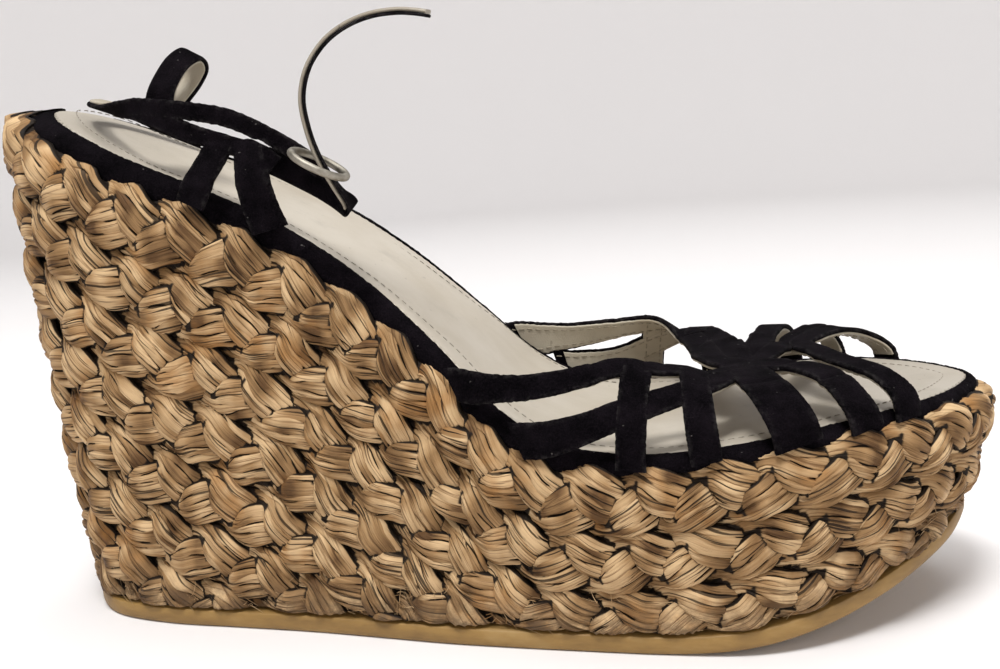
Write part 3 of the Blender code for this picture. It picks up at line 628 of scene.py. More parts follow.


# Section of a bundle: a flat lens of arched, tilted blades whose borders wander along it and open into slits
# only here and there, over a plain back. Gives each point's share of the width, height, tone and painted
# shade: in the slits, where the bundle dips under the others, along the leaf edges and on the back
def bladeSection(own, total):
    s, width, count, local = own["s"], own["width"], blade["count"], blade["across"]
    share = np.cumsum(np.hstack([[0], rng.uniform(blade["least"], blade["most"], count)]))
    border = (share / share[-1])[:, None] + wander(blade["borderWander"], count + 1, s, total)
    border[0], border[-1] = 0.0, 1.0
    border = np.clip(np.maximum.accumulate(border, axis=0), 0.0, 1.0)
    v = border[:-1, None] + local[None, :, None] * np.diff(border, axis=0)[:, None]
    step, tilt = (wander(blade[n], count, s, total)[:, None] for n in ("stepWander", "tiltWander"))
    arch = blade["arch"] * np.sqrt(1 - (2 * local - 1)**2)
    relief = arch[None, :, None] + step + tilt * (local - 0.5)[None, :, None]
    gape = np.clip(wander(blade["gapeWander"], count + 1, s, total) + blade["gape"], 0, 1)
    # no slits at the neck
    gape = gape * np.clip(blade["neckGain"] * width / plait["width"] - blade["neckLess"], 0, 1)
    near = np.stack([gape[:-1], gape[:-1], 0 * gape[:-1], 0 * gape[1:], gape[1:], gape[1:]], 1)
    deep = blade["slitShare"][None, :, None]
    relief = relief - blade["slitDepth"] * near * deep
    v, relief = v.reshape(-1, len(s)), relief.reshape(-1, len(s))
    high, least = blade["lensHigh"], blade["edgeRelief"]
    lens = (1 - np.abs(2 * v - 1)**blade["lensPower"])**blade["lensRound"]
    top = plait["half"] * (high * lens - (high - 1)) + relief * (least + (1 - least) * lens)
    tone = 0.5 + wander(blade["toneWander"], count, s, total) + wander(blade["patchWander"], 1, s, total)
    tone = np.repeat(tone + blade["toneSpread"] * rng.uniform(-1, 1, (count, 1)), len(local), 0)
    # painted shade where the bundle dips under the others
    sunk = np.clip(blade["sunkShade"] * (-blade["sunkFrom"] - np.sin(2 * own["turn"])), 0, 1)
    dark = (near * (deep > 0.5)).reshape(-1, len(s)) + sunk
    # painted shade along the edges of each leaf
    dark = dark + np.clip(blade["edgeShade"] - blade["edgeFade"] * lens, 0, 1)
    back = np.ones((3, len(s)))
    v = np.vstack([v, np.array(blade["underAt"])[:, None] * back])
    top = np.vstack([top, -plait["half"] * np.array(blade["underDeep"])[:, None] * back])
    # the plain back gets a lower tone and painted shade
    return v, top, np.vstack([tone, blade["underTone"] * back]), np.vstack([dark, blade["underShade"] * back])


# One bundle on its row: the section is laid across the run, sheared by the slope of the row, and lifted off
# the side by the run's lift and its own height, less a parabola towards the row's edges
def bundle(row, strand, path, runs):
    own, total, closed = runs[strand], path["total"], path["closed"]
    s, norm = own["s"], own["norm"]
    v, top, tone, dark = bladeSection(own, total)
    w = (v - 0.5) * own["width"]
    across, along = own["t"] + w / norm, s - w * own["lean"] / norm
    shade = contactShade(along, across, own, [run for run in runs if run is not own], total)
    along = along + across * np.interp(s, path["length"], path["slope"])
    if row == 0:
        across = across * np.where(across > 0, 1 + plait["topStretch"], 1.0)  # leaf tops lie over the rim
    along = np.mod(along, total) if closed else np.clip(along, 0, total)
    place, pitch = (np.interp(along, path["length"], path[n]) for n in ("place", "pitch"))
    drop = pitch * (row + 0.5 - across / plait["rowHeight"])
    fall = plait["edgeDrop"] * (across / (plait["rowHeight"] / 2))**2
    points = liftedPoint(place, drop, own["lift"] + top - fall)
    soil = np.clip(1 - (sideTopAndDepth(place)[1] - drop) / plait["soilHigh"], 0, 1)
    # painted shade: contact shade from the leaves lying over this bundle, and darkening towards the row's top
    # and bottom borders where the rows meet
    edge = (-across if row == 0 else np.abs(across)) / plait["rowHeight"] - 0.5
    dark = dark + plait["shadeShare"] * shade
    dark = np.clip(dark + np.clip(plait["borderSteep"] * edge, 0, plait["borderShade"]), 0, 1)
    cols, count = v.shape
    # each bundle reads its own stretch of the pattern
    (strandU, strandV), (rowU, rowV) = plait["uvStrand"], plait["uvRow"]
    run = np.tile(s, (cols, 1)) + strandU * strand + rowU * row
    uv = np.stack([run, w + strandV * strand + rowV * row], -1)
    return {"points": points.transpose(1, 0, 2).reshape(-1, 3), "uv": uv.transpose(1, 0, 2).reshape(-1, 2),
            "quads": gridFaces(count, cols, closed, True),
            "caps": [] if closed else [cap[::-1] for cap in endCaps(count, cols)],
            "values": {"tone": tone.T.ravel(), "creviceShade": dark.T.ravel(), "soil": soil.T.ravel()}}


# Rows of plait from the rim down, until a row no longer shows or is too short
def makePlaits():
    for row in range(plait["rows"]):
        if not rowDrop(row, np.arange(sideCount, dtype=float))[2].any():
            break
        path = rowPath(row)
        if path["total"] < plait["shortest"]:
            break
        runs = [strandRun(row, strand, path) for strand in range(plait["strands"])]
        parts = [bundle(row, strand, path, runs) for strand in range(plait["strands"])]
        join(joinParts("plaitRow%d" % (row + 1), parts, straw))
        print("plait row", row + 1, "length", round(path["total"]), "closed", path["closed"])


makePlaits()

frays = {"count": 1100, "short": 1.2, "long": 4.6, "thick": 0.13, "thinned": 0.8, "low": 7.0, "gather": 2.2,
         "foot": 1.0, "out": 1.0, "upward": 0.7, "outward": 0.22, "curl": 0.18, "rings": 5, "sides": 3,
         "tones": (0.2, 1.0), "soils": (0.0, 0.8), "uvAlong": 3.0, "uvAcross": 50}


# Frayed ends: short bent fibres near the sole, each a three-sided tube that thins along a parabola
def makeFrays():
    count, sides, f = frays["count"], frays["sides"], np.linspace(0, 1, frays["rings"])
    place = rng.uniform(0, sideCount, count)
    low = frays["low"] * rng.random(count)**frays["gather"]
    drop = np.maximum(sideTopAndDepth(place)[1] - frays["foot"] - low, 1.0)
    root = liftedPoint(place, drop, np.full(count, frays["out"]))
    out = unit(liftedPoint(place, drop, np.full(count, frays["out"] + 1.0)) - root)
    along = unit(sideStep(place, drop))
    up = np.cross(out, along)
    up = up * np.sign(up[:, 2:])
    angle = rng.uniform(0, 2 * np.pi, (count, 1))
    aim = np.cos(angle) * along + frays["upward"] * np.abs(np.sin(angle)) * up + frays["outward"] * out
    aim = unit(aim)
    curl = frays["curl"] * rng.standard_normal((count, 3))
    length = rng.uniform(frays["short"], frays["long"], (count, 1, 1))
    path = root[:, None] + length * (f[None, :, None] * aim[:, None] + f[None, :, None]**2 * curl[:, None])
    cross = unit(np.cross(aim, out))
    angle = np.arange(sides) * 2 * np.pi / sides
    ring = np.cos(angle)[:, None] * cross[:, None] + np.sin(angle)[:, None] * np.cross(cross, aim)[:, None]
    thick = frays["thick"] * (1 - frays["thinned"] * f)[None, :, None, None]
    points = (path[:, :, None] + thick * ring[:, None]).reshape(-1, 3)
    block = frays["rings"] * sides
    quads = repeatFaces(gridFaces(frays["rings"], sides, False, True)[:, ::-1], count, block)
    values = {"tone": np.repeat(rng.uniform(*frays["tones"], count), block),
              "soil": np.repeat(rng.uniform(*frays["soils"], count), block)}
    uv = np.stack([np.tile(np.repeat(f * frays["uvAlong"], sides), count),
                   np.repeat(rng.uniform(0, frays["uvAcross"], count), block)], 1)
    join(makePiece("frayedEnds", points, quads, straw, uv, values))


makeFrays()
print("frays made")

# Treads: place along the shoe, reach and strength of the wear
insoleSizes = {"steps": 48, "across": 24, "tooth": 2.2, "toothDepth": 0.9, "toothOut": 0.2, "lipDrop": 0.15,
               "crowding": 0.7, "inner": 0.985, "dish": 0.5, "dishSpan": 78, "lift": 0.12, "thick": 2.4,
               "treads": ((90.0, 32.0, 0.38), (-92.0, 26.0, 0.28))}


# Insole: strips across the foot from edge to edge, dished as a parabola, the edge pinked by a triangle wave
def makeInsole():
    ring = outlineRing(insoleSizes["steps"])
    count = len(ring["x"])
    edge = np.stack([ring["x"], ring["y"], ring["height"]], 1)
    length = runLength(np.vstack([edge, edge[:1]]))
    phase = length[:-1] / length[-1] * round(length[-1] / insoleSizes["tooth"])
    saw = np.abs(2 * (phase - np.floor(phase)) - 1) - 0.5
    normal = np.stack([ring["nx"], ring["ny"], np.zeros(count)], 1)
    tips = edge + (insoleSizes["toothOut"] + insoleSizes["toothDepth"] * saw)[:, None] * normal
    near = np.arange(count // 2 + 1)
    far = (count - near) % count
    a = np.linspace(-1, 1, insoleSizes["across"] + 1)
    a = np.sign(a) * np.abs(a)**insoleSizes["crowding"] * insoleSizes["inner"]
    share = ((a + 1) / 2)[None, :, None]
    top = edge[near][:, None] * (1 - share) + edge[far][:, None] * share
    span = np.linalg.norm(edge[far] - edge[near], axis=1) / insoleSizes["dishSpan"]
    top[..., 2] -= insoleSizes["dish"] * ((1 - a**2)[None, :] * span[:, None]) - insoleSizes["lift"]
    lips = np.stack([tips[near], tips[far]], 1)
    lips[..., 2] += insoleSizes["lift"] - insoleSizes["lipDrop"]
    top = np.concatenate([lips[:, :1], top, lips[:, 1:]], 1)
    under = top - np.array([0.0, 0.0, insoleSizes["thick"]])
    rows, cols = top.shape[:2]
    points = np.vstack([top.reshape(-1, 3), under.reshape(-1, 3)])
    quads = gridFaces(rows, cols, False, False)
    faces = [quads, quads[:, ::-1] + rows * cols]
    r = np.arange(rows - 1) * cols
    # both ends are points, so only the two sides need walls
    for a0, a1 in ((r, r + cols), (r + 2 * cols - 1, r + cols - 1)):
        faces.append(np.stack([a1, a0, a0 + rows * cols, a1 + rows * cols], 1))
    trodden = sum(strength * np.exp(-((points[:, 0] - x) / reach)**2)
                  for x, reach, strength in insoleSizes["treads"])
    made = makePiece("footbed", points, np.vstack(faces), cream, values={"trodden": trodden})
    join(made, "insole")


stitch = {"rings": 7, "sides": 6, "closing": 0.98, "swell": 6, "bow": 3}
footSewing = {"steps": 24, "in": 4.6, "below": 0.05, "up": (0.25, 0.0, 1.0),
              "pitch": 2.1, "length": 1.5, "thick": 0.15, "sink": 0.06}


# Stitches: short capsules along a path, each a tube that swells by a sixth power and closes at both ends
def stitchRow(name, path, up, sizes, material):
    length = runLength(path)
    number = int(length[-1] / sizes["pitch"])
    rings, sides = stitch["rings"], stitch["sides"]
    f = np.linspace(-1, 1, rings)
    s = ((np.arange(number) + 0.5) * sizes["pitch"])[:, None] + f[None, :] * sizes["length"] / 2
    middle, lift = (np.stack([np.interp(s, length, column) for column in rows.T], -1) for rows in (path, up))
    lift = unit(lift)
    cross = np.cross(unit(np.gradient(middle, axis=1)), lift)
    fat = sizes["thick"] * (1 - stitch["closing"] * np.abs(f)**stitch["swell"])[None, :, None, None]
    middle = middle + lift * (sizes["sink"] * (1 - np.abs(f)**stitch["bow"]))[None, :, None]
    angle = (np.arange(sides) * 2 * np.pi / sides)[None, None, :, None]
    points = middle[:, :, None] + fat * (np.cos(angle) * cross[:, :, None] + np.sin(angle) * lift[:, :, None])
    quads = repeatFaces(gridFaces(rings, sides, False, True), number, rings * sides)
    join(makePiece(name, points.reshape(-1, 3), quads, material))


# Stitch line of the footbed: the outline drawn in along its normals and closed
def makeInsoleStitch():
    ring = outlineRing(footSewing["steps"])
    x, y = ring["x"] - footSewing["in"] * ring["nx"], ring["y"] - footSewing["in"] * ring["ny"]
    path = np.stack([x, y, ring["height"] - footSewing["below"]], 1)
    path = np.vstack([path, path[:1]])
    stitchRow("footbedStitch", path, np.tile(footSewing["up"], (len(path), 1)), footSewing, thread)


makeInsole()
makeInsoleStitch()
print("footbed made")

# Profile of the rim: rows of the share of its width and of its drop
rimSizes = {"steps": 24, "fuzz": 0.07, "inner": 0.3,
            "profile": ((0.02, -0.3), (0.06, 0.02), (0.2, 0.09), (0.45, 0.03), (0.7, -0.10), (0.9, -0.28),
                        (1.0, -0.5), (1.0, -0.75), (0.98, -1.0), (0.6, -1.0), (0.1, -0.8))}


# Rim: a suede band whose rounded profile is carried round the outline, a little uneven
def makeRim():
    ring = outlineRing(rimSizes["steps"])
    count, inner, fuzz = len(ring["x"]), rimSizes["inner"], rimSizes["fuzz"]
    levels = []
    for out, drop in rimSizes["profile"]:
        o = inner + out * (ring["rimOut"] - inner) + fuzz * rng.standard_normal(count)
        d = drop * ring["rimDrop"] + fuzz * rng.standard_normal(count)
        x, y = ring["x"] + o * ring["nx"], ring["y"] + o * ring["ny"]
        levels.append(np.stack([x, y, ring["height"] + d], 1))
    quads = gridFaces(len(levels), count, True, True)
    join(makePiece("suedeRim", np.vstack(levels), quads, suede), "rim")


makeRim()
print("rim made")

# Straps: flat ribbons of two layers, suede outside and cream lining inside
strap = {"suedeThick": 1.15, "liningThick": 0.6, "between": 0.02, "step": 0.7, "edge": 0.4, "edgeShare": 0.45,
         "liningShort": 0.4, "liningEnd": 4, "layerLift": 0.03, "fray": 0.045, "wornWide": 0.9,
         "wornFade": 0.8, "normalStep": 0.2, "sharp": 1.0, "flatPoints": 9, "corner": (0.0, 0.35, 0.75, 1.0)}
liningSewing = {"in": 1.3, "below": 0.02, "pitch": 2.3, "length": 1.7, "thick": 0.17, "sink": 0.03}


# Rounded flat section, going round once: rows of place across and height, with quarter circles as corners
def sectionRound(width, thick):
    edge = min(strap["edge"], thick * strap["edgeShare"])
    reach = width / 2 - edge
    flat = np.linspace(-1, 1, strap["flatPoints"]) * reach
    bow = np.array(strap["corner"]) * np.pi / 2
    corner = np.stack([reach + edge * np.sin(bow), thick - edge + edge * np.cos(bow)], 1)
    low = np.stack([reach + edge * np.cos(bow), edge - edge * np.sin(bow)], 1)
    right = np.vstack([corner[1:], low])
    over, below = (np.stack([flat, np.full(len(flat), z)], 1) for z in (thick, 0.0))
    return np.vstack([over, right, below[-2:0:-1], right[::-1] * np.array([-1, 1])])


# Normal of a surface: the cross product of its steps along both parameters
def surfaceNormal(surface, p, q):
    step = strap["normalStep"]
    stepP = surface(p + step, q) - surface(p - step, q)
    stepQ = surface(p, q + step) - surface(p, q - step)
    return unit(np.cross(stepP, stepQ))


# Part of a strap's layer: points on a grid of rows by section places, with wear along the edges
def layerPart(points, run, across, worn, flipped):
    rows, cols = across.shape
    quads = gridFaces(rows, cols, False, True)
    uv = np.stack([np.broadcast_to(run[:, None], across.shape), across], -1)
    return {"points": points.reshape(-1, 3), "quads": quads[:, ::-1] if flipped else quads,
            "uv": uv.reshape(-1, 2), "caps": endCaps(rows, cols), "values": {"worn": np.tile(worn, rows)}}


# Layer of a strap on a surface: the section's place across is laid out on the flat pattern beside the path,
# its height goes off the surface along the normal
def patternLayer(path, width, low, thick, surface, outside):
    along = unit(np.gradient(path, axis=0))
    profile = sectionRound(width, thick)
    # cut edges are a little uneven
    fray = 1 + 2 * strap["fray"] / width * rng.standard_normal((len(path), 1))
    p = path[:, None, 0] - fray * profile[None, :, 0] * along[:, None, 1]
    q = path[:, None, 1] + fray * profile[None, :, 0] * along[:, None, 0]
    height = (low + profile[:, 1])[None, :, None]
    points = surface(p, q) + outside * height * surfaceNormal(surface, p, q)
    worn = np.clip((np.abs(profile[:, 0]) - width / 2 + strap["wornWide"]) / strap["wornFade"], 0, 1)
    across = np.broadcast_to(profile[None, :, 0], p.shape)
    return layerPart(points, runLength(path), across, worn, outside > 0)


# Stitch lines on the lining: the path moved to both sides on the flat pattern, then just under the surface
def sewStrap(name, path, width, surface, outside):
    along = unit(np.gradient(path, axis=0))
    for letter, aside in (("A", liningSewing["in"] - width / 2), ("B", width / 2 - liningSewing["in"])):
        p, q = path[:, 0] - aside * along[:, 1], path[:, 1] + aside * along[:, 0]
        inward = -outside * surfaceNormal(surface, p, q)
        seam = surface(p, q) + liningSewing["below"] * inward
        stitchRow(name + letter, seam, inward, liningSewing, liningThread)


# Layers of one kind joined to a piece, with sharp edges kept sharp
def joinLayers(name, layers, material, stands=None):
    made = joinParts(name, layers, material)
    made.data.set_sharp_from_angle(angle=strap["sharp"])
    join(made, stands)


# Straps of one flat pattern: suede over a narrower and shorter lining, each later strap a little higher
def makeStraps(name, pattern, spread, surface, outside, stands):
    outer, inner = [], []
    lined = slice(strap["liningEnd"], -strap["liningEnd"])
    for k, (strapName, width, rows) in enumerate(pattern["straps"]):
        path = evenCurve(np.asarray(rows, float) * spread, strap["step"])
        low = k * strap["layerLift"]
        high = low + strap["liningThick"] + strap["between"]
        narrow = width - 2 * strap["liningShort"]
        outer.append(patternLayer(path, width, high, strap["suedeThick"], surface, outside))
        inner.append(patternLayer(path[lined], narrow, low, strap["liningThick"], surface, outside))
        if strapName in pattern["stitched"]:
            sewStrap(strapName + "Stitch", path, width, surface, outside)
    joinLayers(name + "Suede", outer, suede, stands)
    joinLayers(name + "Lining", inner, liningCreamShaded)


# Vamp. Straps: width, and rows of x and across, from lateral rim (-1) over the crown to medial rim (1).
# Crown: x, arch, and the heights of the lateral shoulder, the middle and the medial shoulder.
# Creases: x, across, degrees, and how long, wide and deep each one is
vamp = {"steps": 12, "patternHalf": 50.0, "domePower": 0.87, "domeMedial": 0.04, "clear": 0.8,
        "shoulder": 0.4, "sinkPower": 6.0,
        "crown": (
            (-12.0, 28.0, 40.0, 40.0, 40.0), (20.0, 28.0, 40.0, 40.0, 40.0), (34.0, 26.0, 24.0, 23.0, 24.0),
            (39.0, 24.3, 19.5, 17.0, 18.0), (44.0, 22.5, 16.1, 12.4, 12.9), (49.0, 20.3, 15.0, 11.9, 12.6),
            (53.0, 18.7, 12.2, 11.9, 12.5), (61.0, 16.1, 10.8, 11.3, 12.2), (74.0, 12.4, 8.7, 9.6, 11.8),
            (84.0, 10.0, 8.4, 8.8, 9.0), (92.0, 8.5, 9.0, 8.6, 8.0), (104.0, 7.0, 10.0, 10.0, 10.0)),
        "straps": (
            ("lateralLow", 6.4, ((14, -1.04), (22, -0.95), (35, -0.81), (50, -0.61), (58, -0.37), (64, 0.0),
                                 (69, 0.45), (72, 0.8), (73, 1.03))),
            ("medialLow", 7.0, ((12, 1.04), (20, 0.98), (33, 0.88), (46, 0.66), (54, 0.28), (60, -0.2))),
            ("lateralToePost", 9.4, ((56.5, 0.08), (60, -0.2), (66, -0.6), (69.5, -0.85), (71, -1.03))),
            ("lateralTop", 5.0, ((0, -1.05), (6, -0.94), (15, -0.805), (27, -0.65), (40, -0.495), (50, -0.40),
                                 (59, -0.28), (67, -0.08), (74, 0.16), (79, 0.44), (83, 0.82), (84.5, 1.03))),
            ("medialTop", 6.4, ((1, 1.07), (7, 0.97), (15, 0.865), (27, 0.735), (36, 0.665), (43, 0.53),
                                (48.5, 0.30), (52, 0.02), (56, -0.16), (64, -0.22), (72, -0.27), (78, -0.46),
                                (82.5, -0.8), (84.5, -1.03))),
            ("lateralRearPost", 6.2, ((37.8, -1.04), (38.3, -0.8), (38.8, -0.54))),
            ("lateralFrontPost", 6.4, ((53.0, -1.03), (51.5, -0.7), (50.4, -0.40))),
            ("medialRearPost", 6.2, ((36.5, 1.04), (37.5, 0.8), (38.5, 0.60))),
            ("medialFrontPost", 6.4, ((53.5, 1.03), (51.5, 0.7), (49.0, 0.34))),
            ("toeChevron", 5.2, ((93, -1.03), (92, -0.78), (88.5, -0.53), (84.5, -0.37), (81, -0.23),
                                 (77.5, -0.08), (74.5, 0.03), (78.5, 0.18), (83, 0.36), (89, 0.6),
                                 (94.5, 0.85), (96, 1.03)))),
        "stitched": ("medialTop", "medialLow", "medialRearPost", "medialFrontPost", "toeChevron"),
        "creases": (
            (51, 0.10, 70, 13, 1.3, -0.75), (57, 0.02, 100, 12, 1.2, -0.65), (63, -0.12, 80, 11, 1.1, -0.55),
            (69, 0.12, 115, 12, 1.2, -0.65), (75, 0.22, 75, 10, 1.1, -0.55), (47, 0.34, 60, 10, 1.2, -0.60),
            (54, -0.30, 40, 11, 1.1, -0.50), (72, -0.22, 35, 10, 1.0, -0.50), (60, 0.14, 20, 12, 1.6, 0.60),
            (66, -0.02, 160, 13, 1.7, 0.55), (80, 0.40, 60, 9, 1.2, 0.60), (44, 0.52, 80, 9, 1.2, -0.55),
            (40, -0.50, 85, 7, 1.0, -0.40), (64, -0.52, 15, 8, 1.0, -0.40), (79, -0.52, 25, 8, 1.0, -0.40),
            (30, -0.62, 80, 6, 0.9, -0.35), (28, 0.73, 95, 6, 0.9, -0.35))}
vampRing = outlineRing(vamp["steps"])
toePlace = len(vampRing["x"]) // 2
lateralEdge, medialEdge = slice(0, toePlace + 1), slice(toePlace, None)


# Column of the outline on one side of the shoe, read off by x
def edgeAt(p, edge, name):
    x = vampRing["x"][edge]
    order = np.argsort(x)
    return np.interp(p, x[order], vampRing[name][edge][order])


# Creases: the sum of bell-shaped grooves and ridges, each on its own short line of the flat pattern
def creaseHeight(p, q):
    total = np.zeros(np.shape(p))
    for x, across, degrees, long, wide, deep in vamp["creases"]:
        turn = np.radians(degrees)
        u, v = p - x, q - across * vamp["patternHalf"]
        along, aside = u * np.cos(turn) + v * np.sin(turn), v * np.cos(turn) - u * np.sin(turn)
        total = total + deep * np.exp(-2 * (along / long)**2 - 0.5 * (aside / wide)**2)
    return total


# Flattened arch over the foot: sideways a power of the sine, upwards a power of the cosine of the across
# angle, its top sunk to the heights of the two shoulders and the middle by a smooth minimum
def dome(p, q):
    across = q / vamp["patternHalf"]
    lateralY, medialY = edgeAt(p, lateralEdge, "y"), edgeAt(p, medialEdge, "y")
    reach = (medialY - lateralY) / 2 + edgeAt(p, lateralEdge, "rimOut") + vamp["clear"]
    turn = np.clip(across, -1, 1) * np.pi / 2
    y = (medialY + lateralY) / 2 + reach * np.sign(turn) * np.abs(np.sin(turn))**vamp["domePower"]
    x, *heights = np.array(vamp["crown"]).T
    arch, lateral, middle, medial = (np.interp(p, x, height) for height in heights)
    rise = arch * (1 + vamp["domeMedial"] * np.sin(turn)) * np.abs(np.cos(turn))**vamp["domePower"]
    share = np.clip(across / vamp["shoulder"], -1, 1)
    sunk = middle + (medial - lateral) / 2 * share + ((medial + lateral) / 2 - middle) * share**2
    rise = rise / (1 + (rise / sunk)**vamp["sinkPower"])**(1 / vamp["sinkPower"])
    below = np.maximum(np.abs(across) - 1, 0) * vamp["patternHalf"]
    return np.stack([p, y, edgeAt(p, lateralEdge, "height") + rise - below + creaseHeight(p, q)], -1)


makeStraps("vamp", vamp, np.array([1.0, vamp["patternHalf"]]), dome, 1, "vamp")
print("vamp made")

# Heel band: a wall on a plan round the heel; its legs lean outwards, its back lies down with the lining up.
# Straps: width, and rows of the place along the plan and the height.
# Stand: place along the plan, pivot height, degrees of tilt and share of the legs' lean
heel = {"plan": ((-20, -27.5), (-40, -27.5), (-56, -27), (-70, -22.5), (-83, -14), (-91.5, -5.5), (-94, 2),
                 (-90.5, 9.5), (-82, 16.5), (-67, 24.6), (-52, 28), (-36, 28.4)),
        "steps": 10, "legTop": 113.0, "legRun": 9.0, "legOut": 4.6,
        "stand": ((0, 110, 0, 0), (14, 110, 0, 0), (20, 110, 0, 1), (54, 121, 0, 1), (62, 122.8, 40, 1),
                  (70, 124.1, 68, 1), (80, 125.5, 70, 1), (87, 125.7, 60, 1), (96, 123.2, 42, 1),
                  (107, 117.6, 15, 1), (117, 112.9, 0, 1.2), (180, 108, 0, 1.2)),
        "straps": (
            ("lowerBand", 4.4, ((18, 107.0), (22, 109.9), (29, 112.5), (35, 114.6), (41, 117.0), (48, 120.0),
                                (58, 122.8), (70, 124.1), (80, 125.5), (87, 125.7), (96, 123.2), (107, 117.6),
                                (117, 112.9), (128, 108.5), (137, 105.2))),
            ("upperBand", 4.1, ((7.5, 105.4), (12, 109.0), (16.5, 112.0), (22, 115.3), (25.5, 117.1),
                                (29.5, 118.7), (35.5, 120.1), (41.5, 121.1), (50, 122.2), (62, 123.4))),
            ("lateralFrontLeg", 7.0, ((20.0, 93.4), (21.8, 100.0), (23.6, 110.5))),
            ("lateralRearLeg", 6.5, ((36.6, 100.0), (33.8, 105.6), (30.2, 112.6))),
            ("medialFrontLeg", 7.0, ((141.0, 97.0), (138.5, 101.4), (135.5, 106.0))),
            ("medialRearLeg", 6.5, ((123.5, 104.8), (126.0, 106.6), (128.5, 108.7)))),
        "stitched": ()}
heelPlan = curveThrough(heel["plan"], heel["steps"], False)
heelLength = runLength(heelPlan)
heelSlope = unit(np.gradient(heelPlan, axis=0))


# Point of the wall: the plan moved outwards by the leg lean and by the sine of the tilt, height by its cosine
def heelWall(p, q):
    x, y, slopeX, slopeY = (np.interp(p, heelLength, column) for column in (*heelPlan.T, *heelSlope.T))
    along, *columns = np.array(heel["stand"], float).T
    pivot, degrees, share = (np.interp(p, along, column) for column in columns)
    tilt = np.radians(degrees)
    lean = heel["legOut"] * np.clip((heel["legTop"] - q) / heel["legRun"], 0, 1) * share
    lean = lean + (q - pivot) * np.sin(tilt)
    return np.stack([x - lean * slopeY, y + lean * slopeX, pivot + (q - pivot) * np.cos(tilt)], -1)


makeStraps("heelBand", heel, np.ones(2), heelWall, -1, "heel_strap")
print("heel band made")

# Free ribbons: rows of x, y, z, width and the axis of the width
ribbons = {
    "backLoop": (
        (-67.0, -22.2, 120.6, 9.0, 0.95, -0.30, 0.00), (-66.8, -21.9, 124.4, 8.4, 0.95, -0.30, -0.10),
        (-65.4, -20.6, 128.2, 7.4, 0.92, -0.30, -0.30), (-63.4, -17.8, 132.0, 7.0, 0.88, -0.30, -0.42),
        (-61.9, -13.8, 133.7, 7.0, 0.86, -0.30, -0.45), (-62.5, -10.2, 131.8, 6.6, 0.88, -0.25, -0.42),
        (-64.6, -10.0, 128.4, 6.4, 0.90, -0.20, -0.38), (-66.2, -12.6, 125.2, 6.4, 0.92, -0.20, -0.30),
        (-67.2, -16.8, 122.2, 6.6, 0.95, -0.20, -0.20), (-67.2, -19.7, 119.6, 6.6, 0.95, -0.30, 0.00)),
    "ankleStrap": (
        (-41.5, -26.2, 108.9, 5.6, 0.25, 0.00, 0.97), (-38.0, -26.2, 107.2, 5.6, 0.25, 0.00, 0.97),
        (-34.0, -26.2, 104.9, 5.4, 0.30, 0.00, 0.95), (-29.0, -26.3, 101.8, 5.0, 0.40, 0.00, 0.91),
        (-24.8, -27.2, 98.9, 4.6, 0.50, 0.10, 0.82), (-21.9, -29.6, 97.2, 4.6, 0.40, 0.50, 0.60),
        (-21.2, -32.8, 98.6, 4.8, 0.00, 0.90, 0.20), (-22.6, -34.8, 101.8, 5.2, -0.20, 0.96, 0.05),
        (-25.0, -35.2, 106.4, 5.6, -0.30, 0.94, 0.02), (-27.0, -35.0, 111.4, 6.0, -0.33, 0.94, 0.03),
        (-28.1, -35.0, 116.4, 6.0, -0.33, 0.94, 0.04), (-28.4, -35.0, 120.6, 6.0, -0.33, 0.94, 0.05),
        (-27.5, -35.0, 124.8, 6.0, -0.32, 0.94, 0.07), (-25.5, -35.0, 128.7, 6.0, -0.32, 0.94, 0.08),
        (-21.9, -35.0, 132.5, 6.0, -0.30, 0.94, 0.09), (-17.2, -35.0, 135.2, 6.0, -0.29, 0.94, 0.10),
        (-11.9, -35.0, 136.7, 6.0, -0.28, 0.95, 0.10), (-6.5, -35.0, 137.0, 6.0, -0.26, 0.95, 0.10),
        (-2.3, -35.0, 136.5, 6.0, -0.25, 0.95, 0.10), (0.4, -35.0, 135.9, 5.4, -0.25, 0.95, 0.10)),
    "thick": 1.6, "fold": 39, "loopLining": 0.6, "strapLining": 0.9, "wornFrom": 0.75}


# Layer of a free ribbon: the rounded section carried along the path, its width on the row's axis
def ribbonLayer(rows, low, thick, trim, part=slice(None)):
    path = evenCurve(rows, strap["step"])[part]
    middle, width, axis = path[:, :3], path[:, 3], path[:, 4:]
    along = unit(np.gradient(middle, axis=0))
    axis = unit(axis - (axis * along).sum(1)[:, None] * along)
    face = np.cross(along, axis)
    place, height = sectionRound(2.0, thick).T
    across = place[None, :] * (width[:, None] / 2 - trim)
    points = middle[:, None] + across[..., None] * axis[:, None]
    points = points + (low + height)[None, :, None] * face[:, None]
    worn = np.clip((np.abs(place) - ribbons["wornFrom"]) / (1 - ribbons["wornFrom"]), 0, 1)
    return layerPart(points, runLength(middle), across, worn, True)


# Ribbon of two layers, suede below and lining above the path's face; up to the fold it is suede on both faces
def makeRibbon(name, fold, split, lining, stands):
    half, rows = ribbons["thick"] / 2, np.array(ribbons[name])
    outer = [ribbonLayer(rows, -half, ribbons["thick"] - split - strap["between"], 0.0)]
    if fold:
        outer.append(ribbonLayer(rows, half - split, split, 0.0, slice(0, fold)))
    inner = [ribbonLayer(rows, half - split, split, strap["liningShort"], slice(fold, None))]
    joinLayers(name + "Suede", outer, suede, stands)
    joinLayers(name + "Lining", inner, lining)


makeRibbon("backLoop", 0, ribbons["loopLining"], liningCreamShaded, "back_loop")
makeRibbon("ankleStrap", ribbons["fold"], ribbons["strapLining"], darkerLining, "ankle_strap")
print("ribbons made")

ringSizes = {"centre": (-25.8, -35.6, 107.0), "longAxis": (0.87, 0.0, -0.49), "shortAxis": (0.04, 0.99, 0.07),
             "long": 6.4, "short": 5.0, "wire": 0.85, "around": 72, "sides": 16}


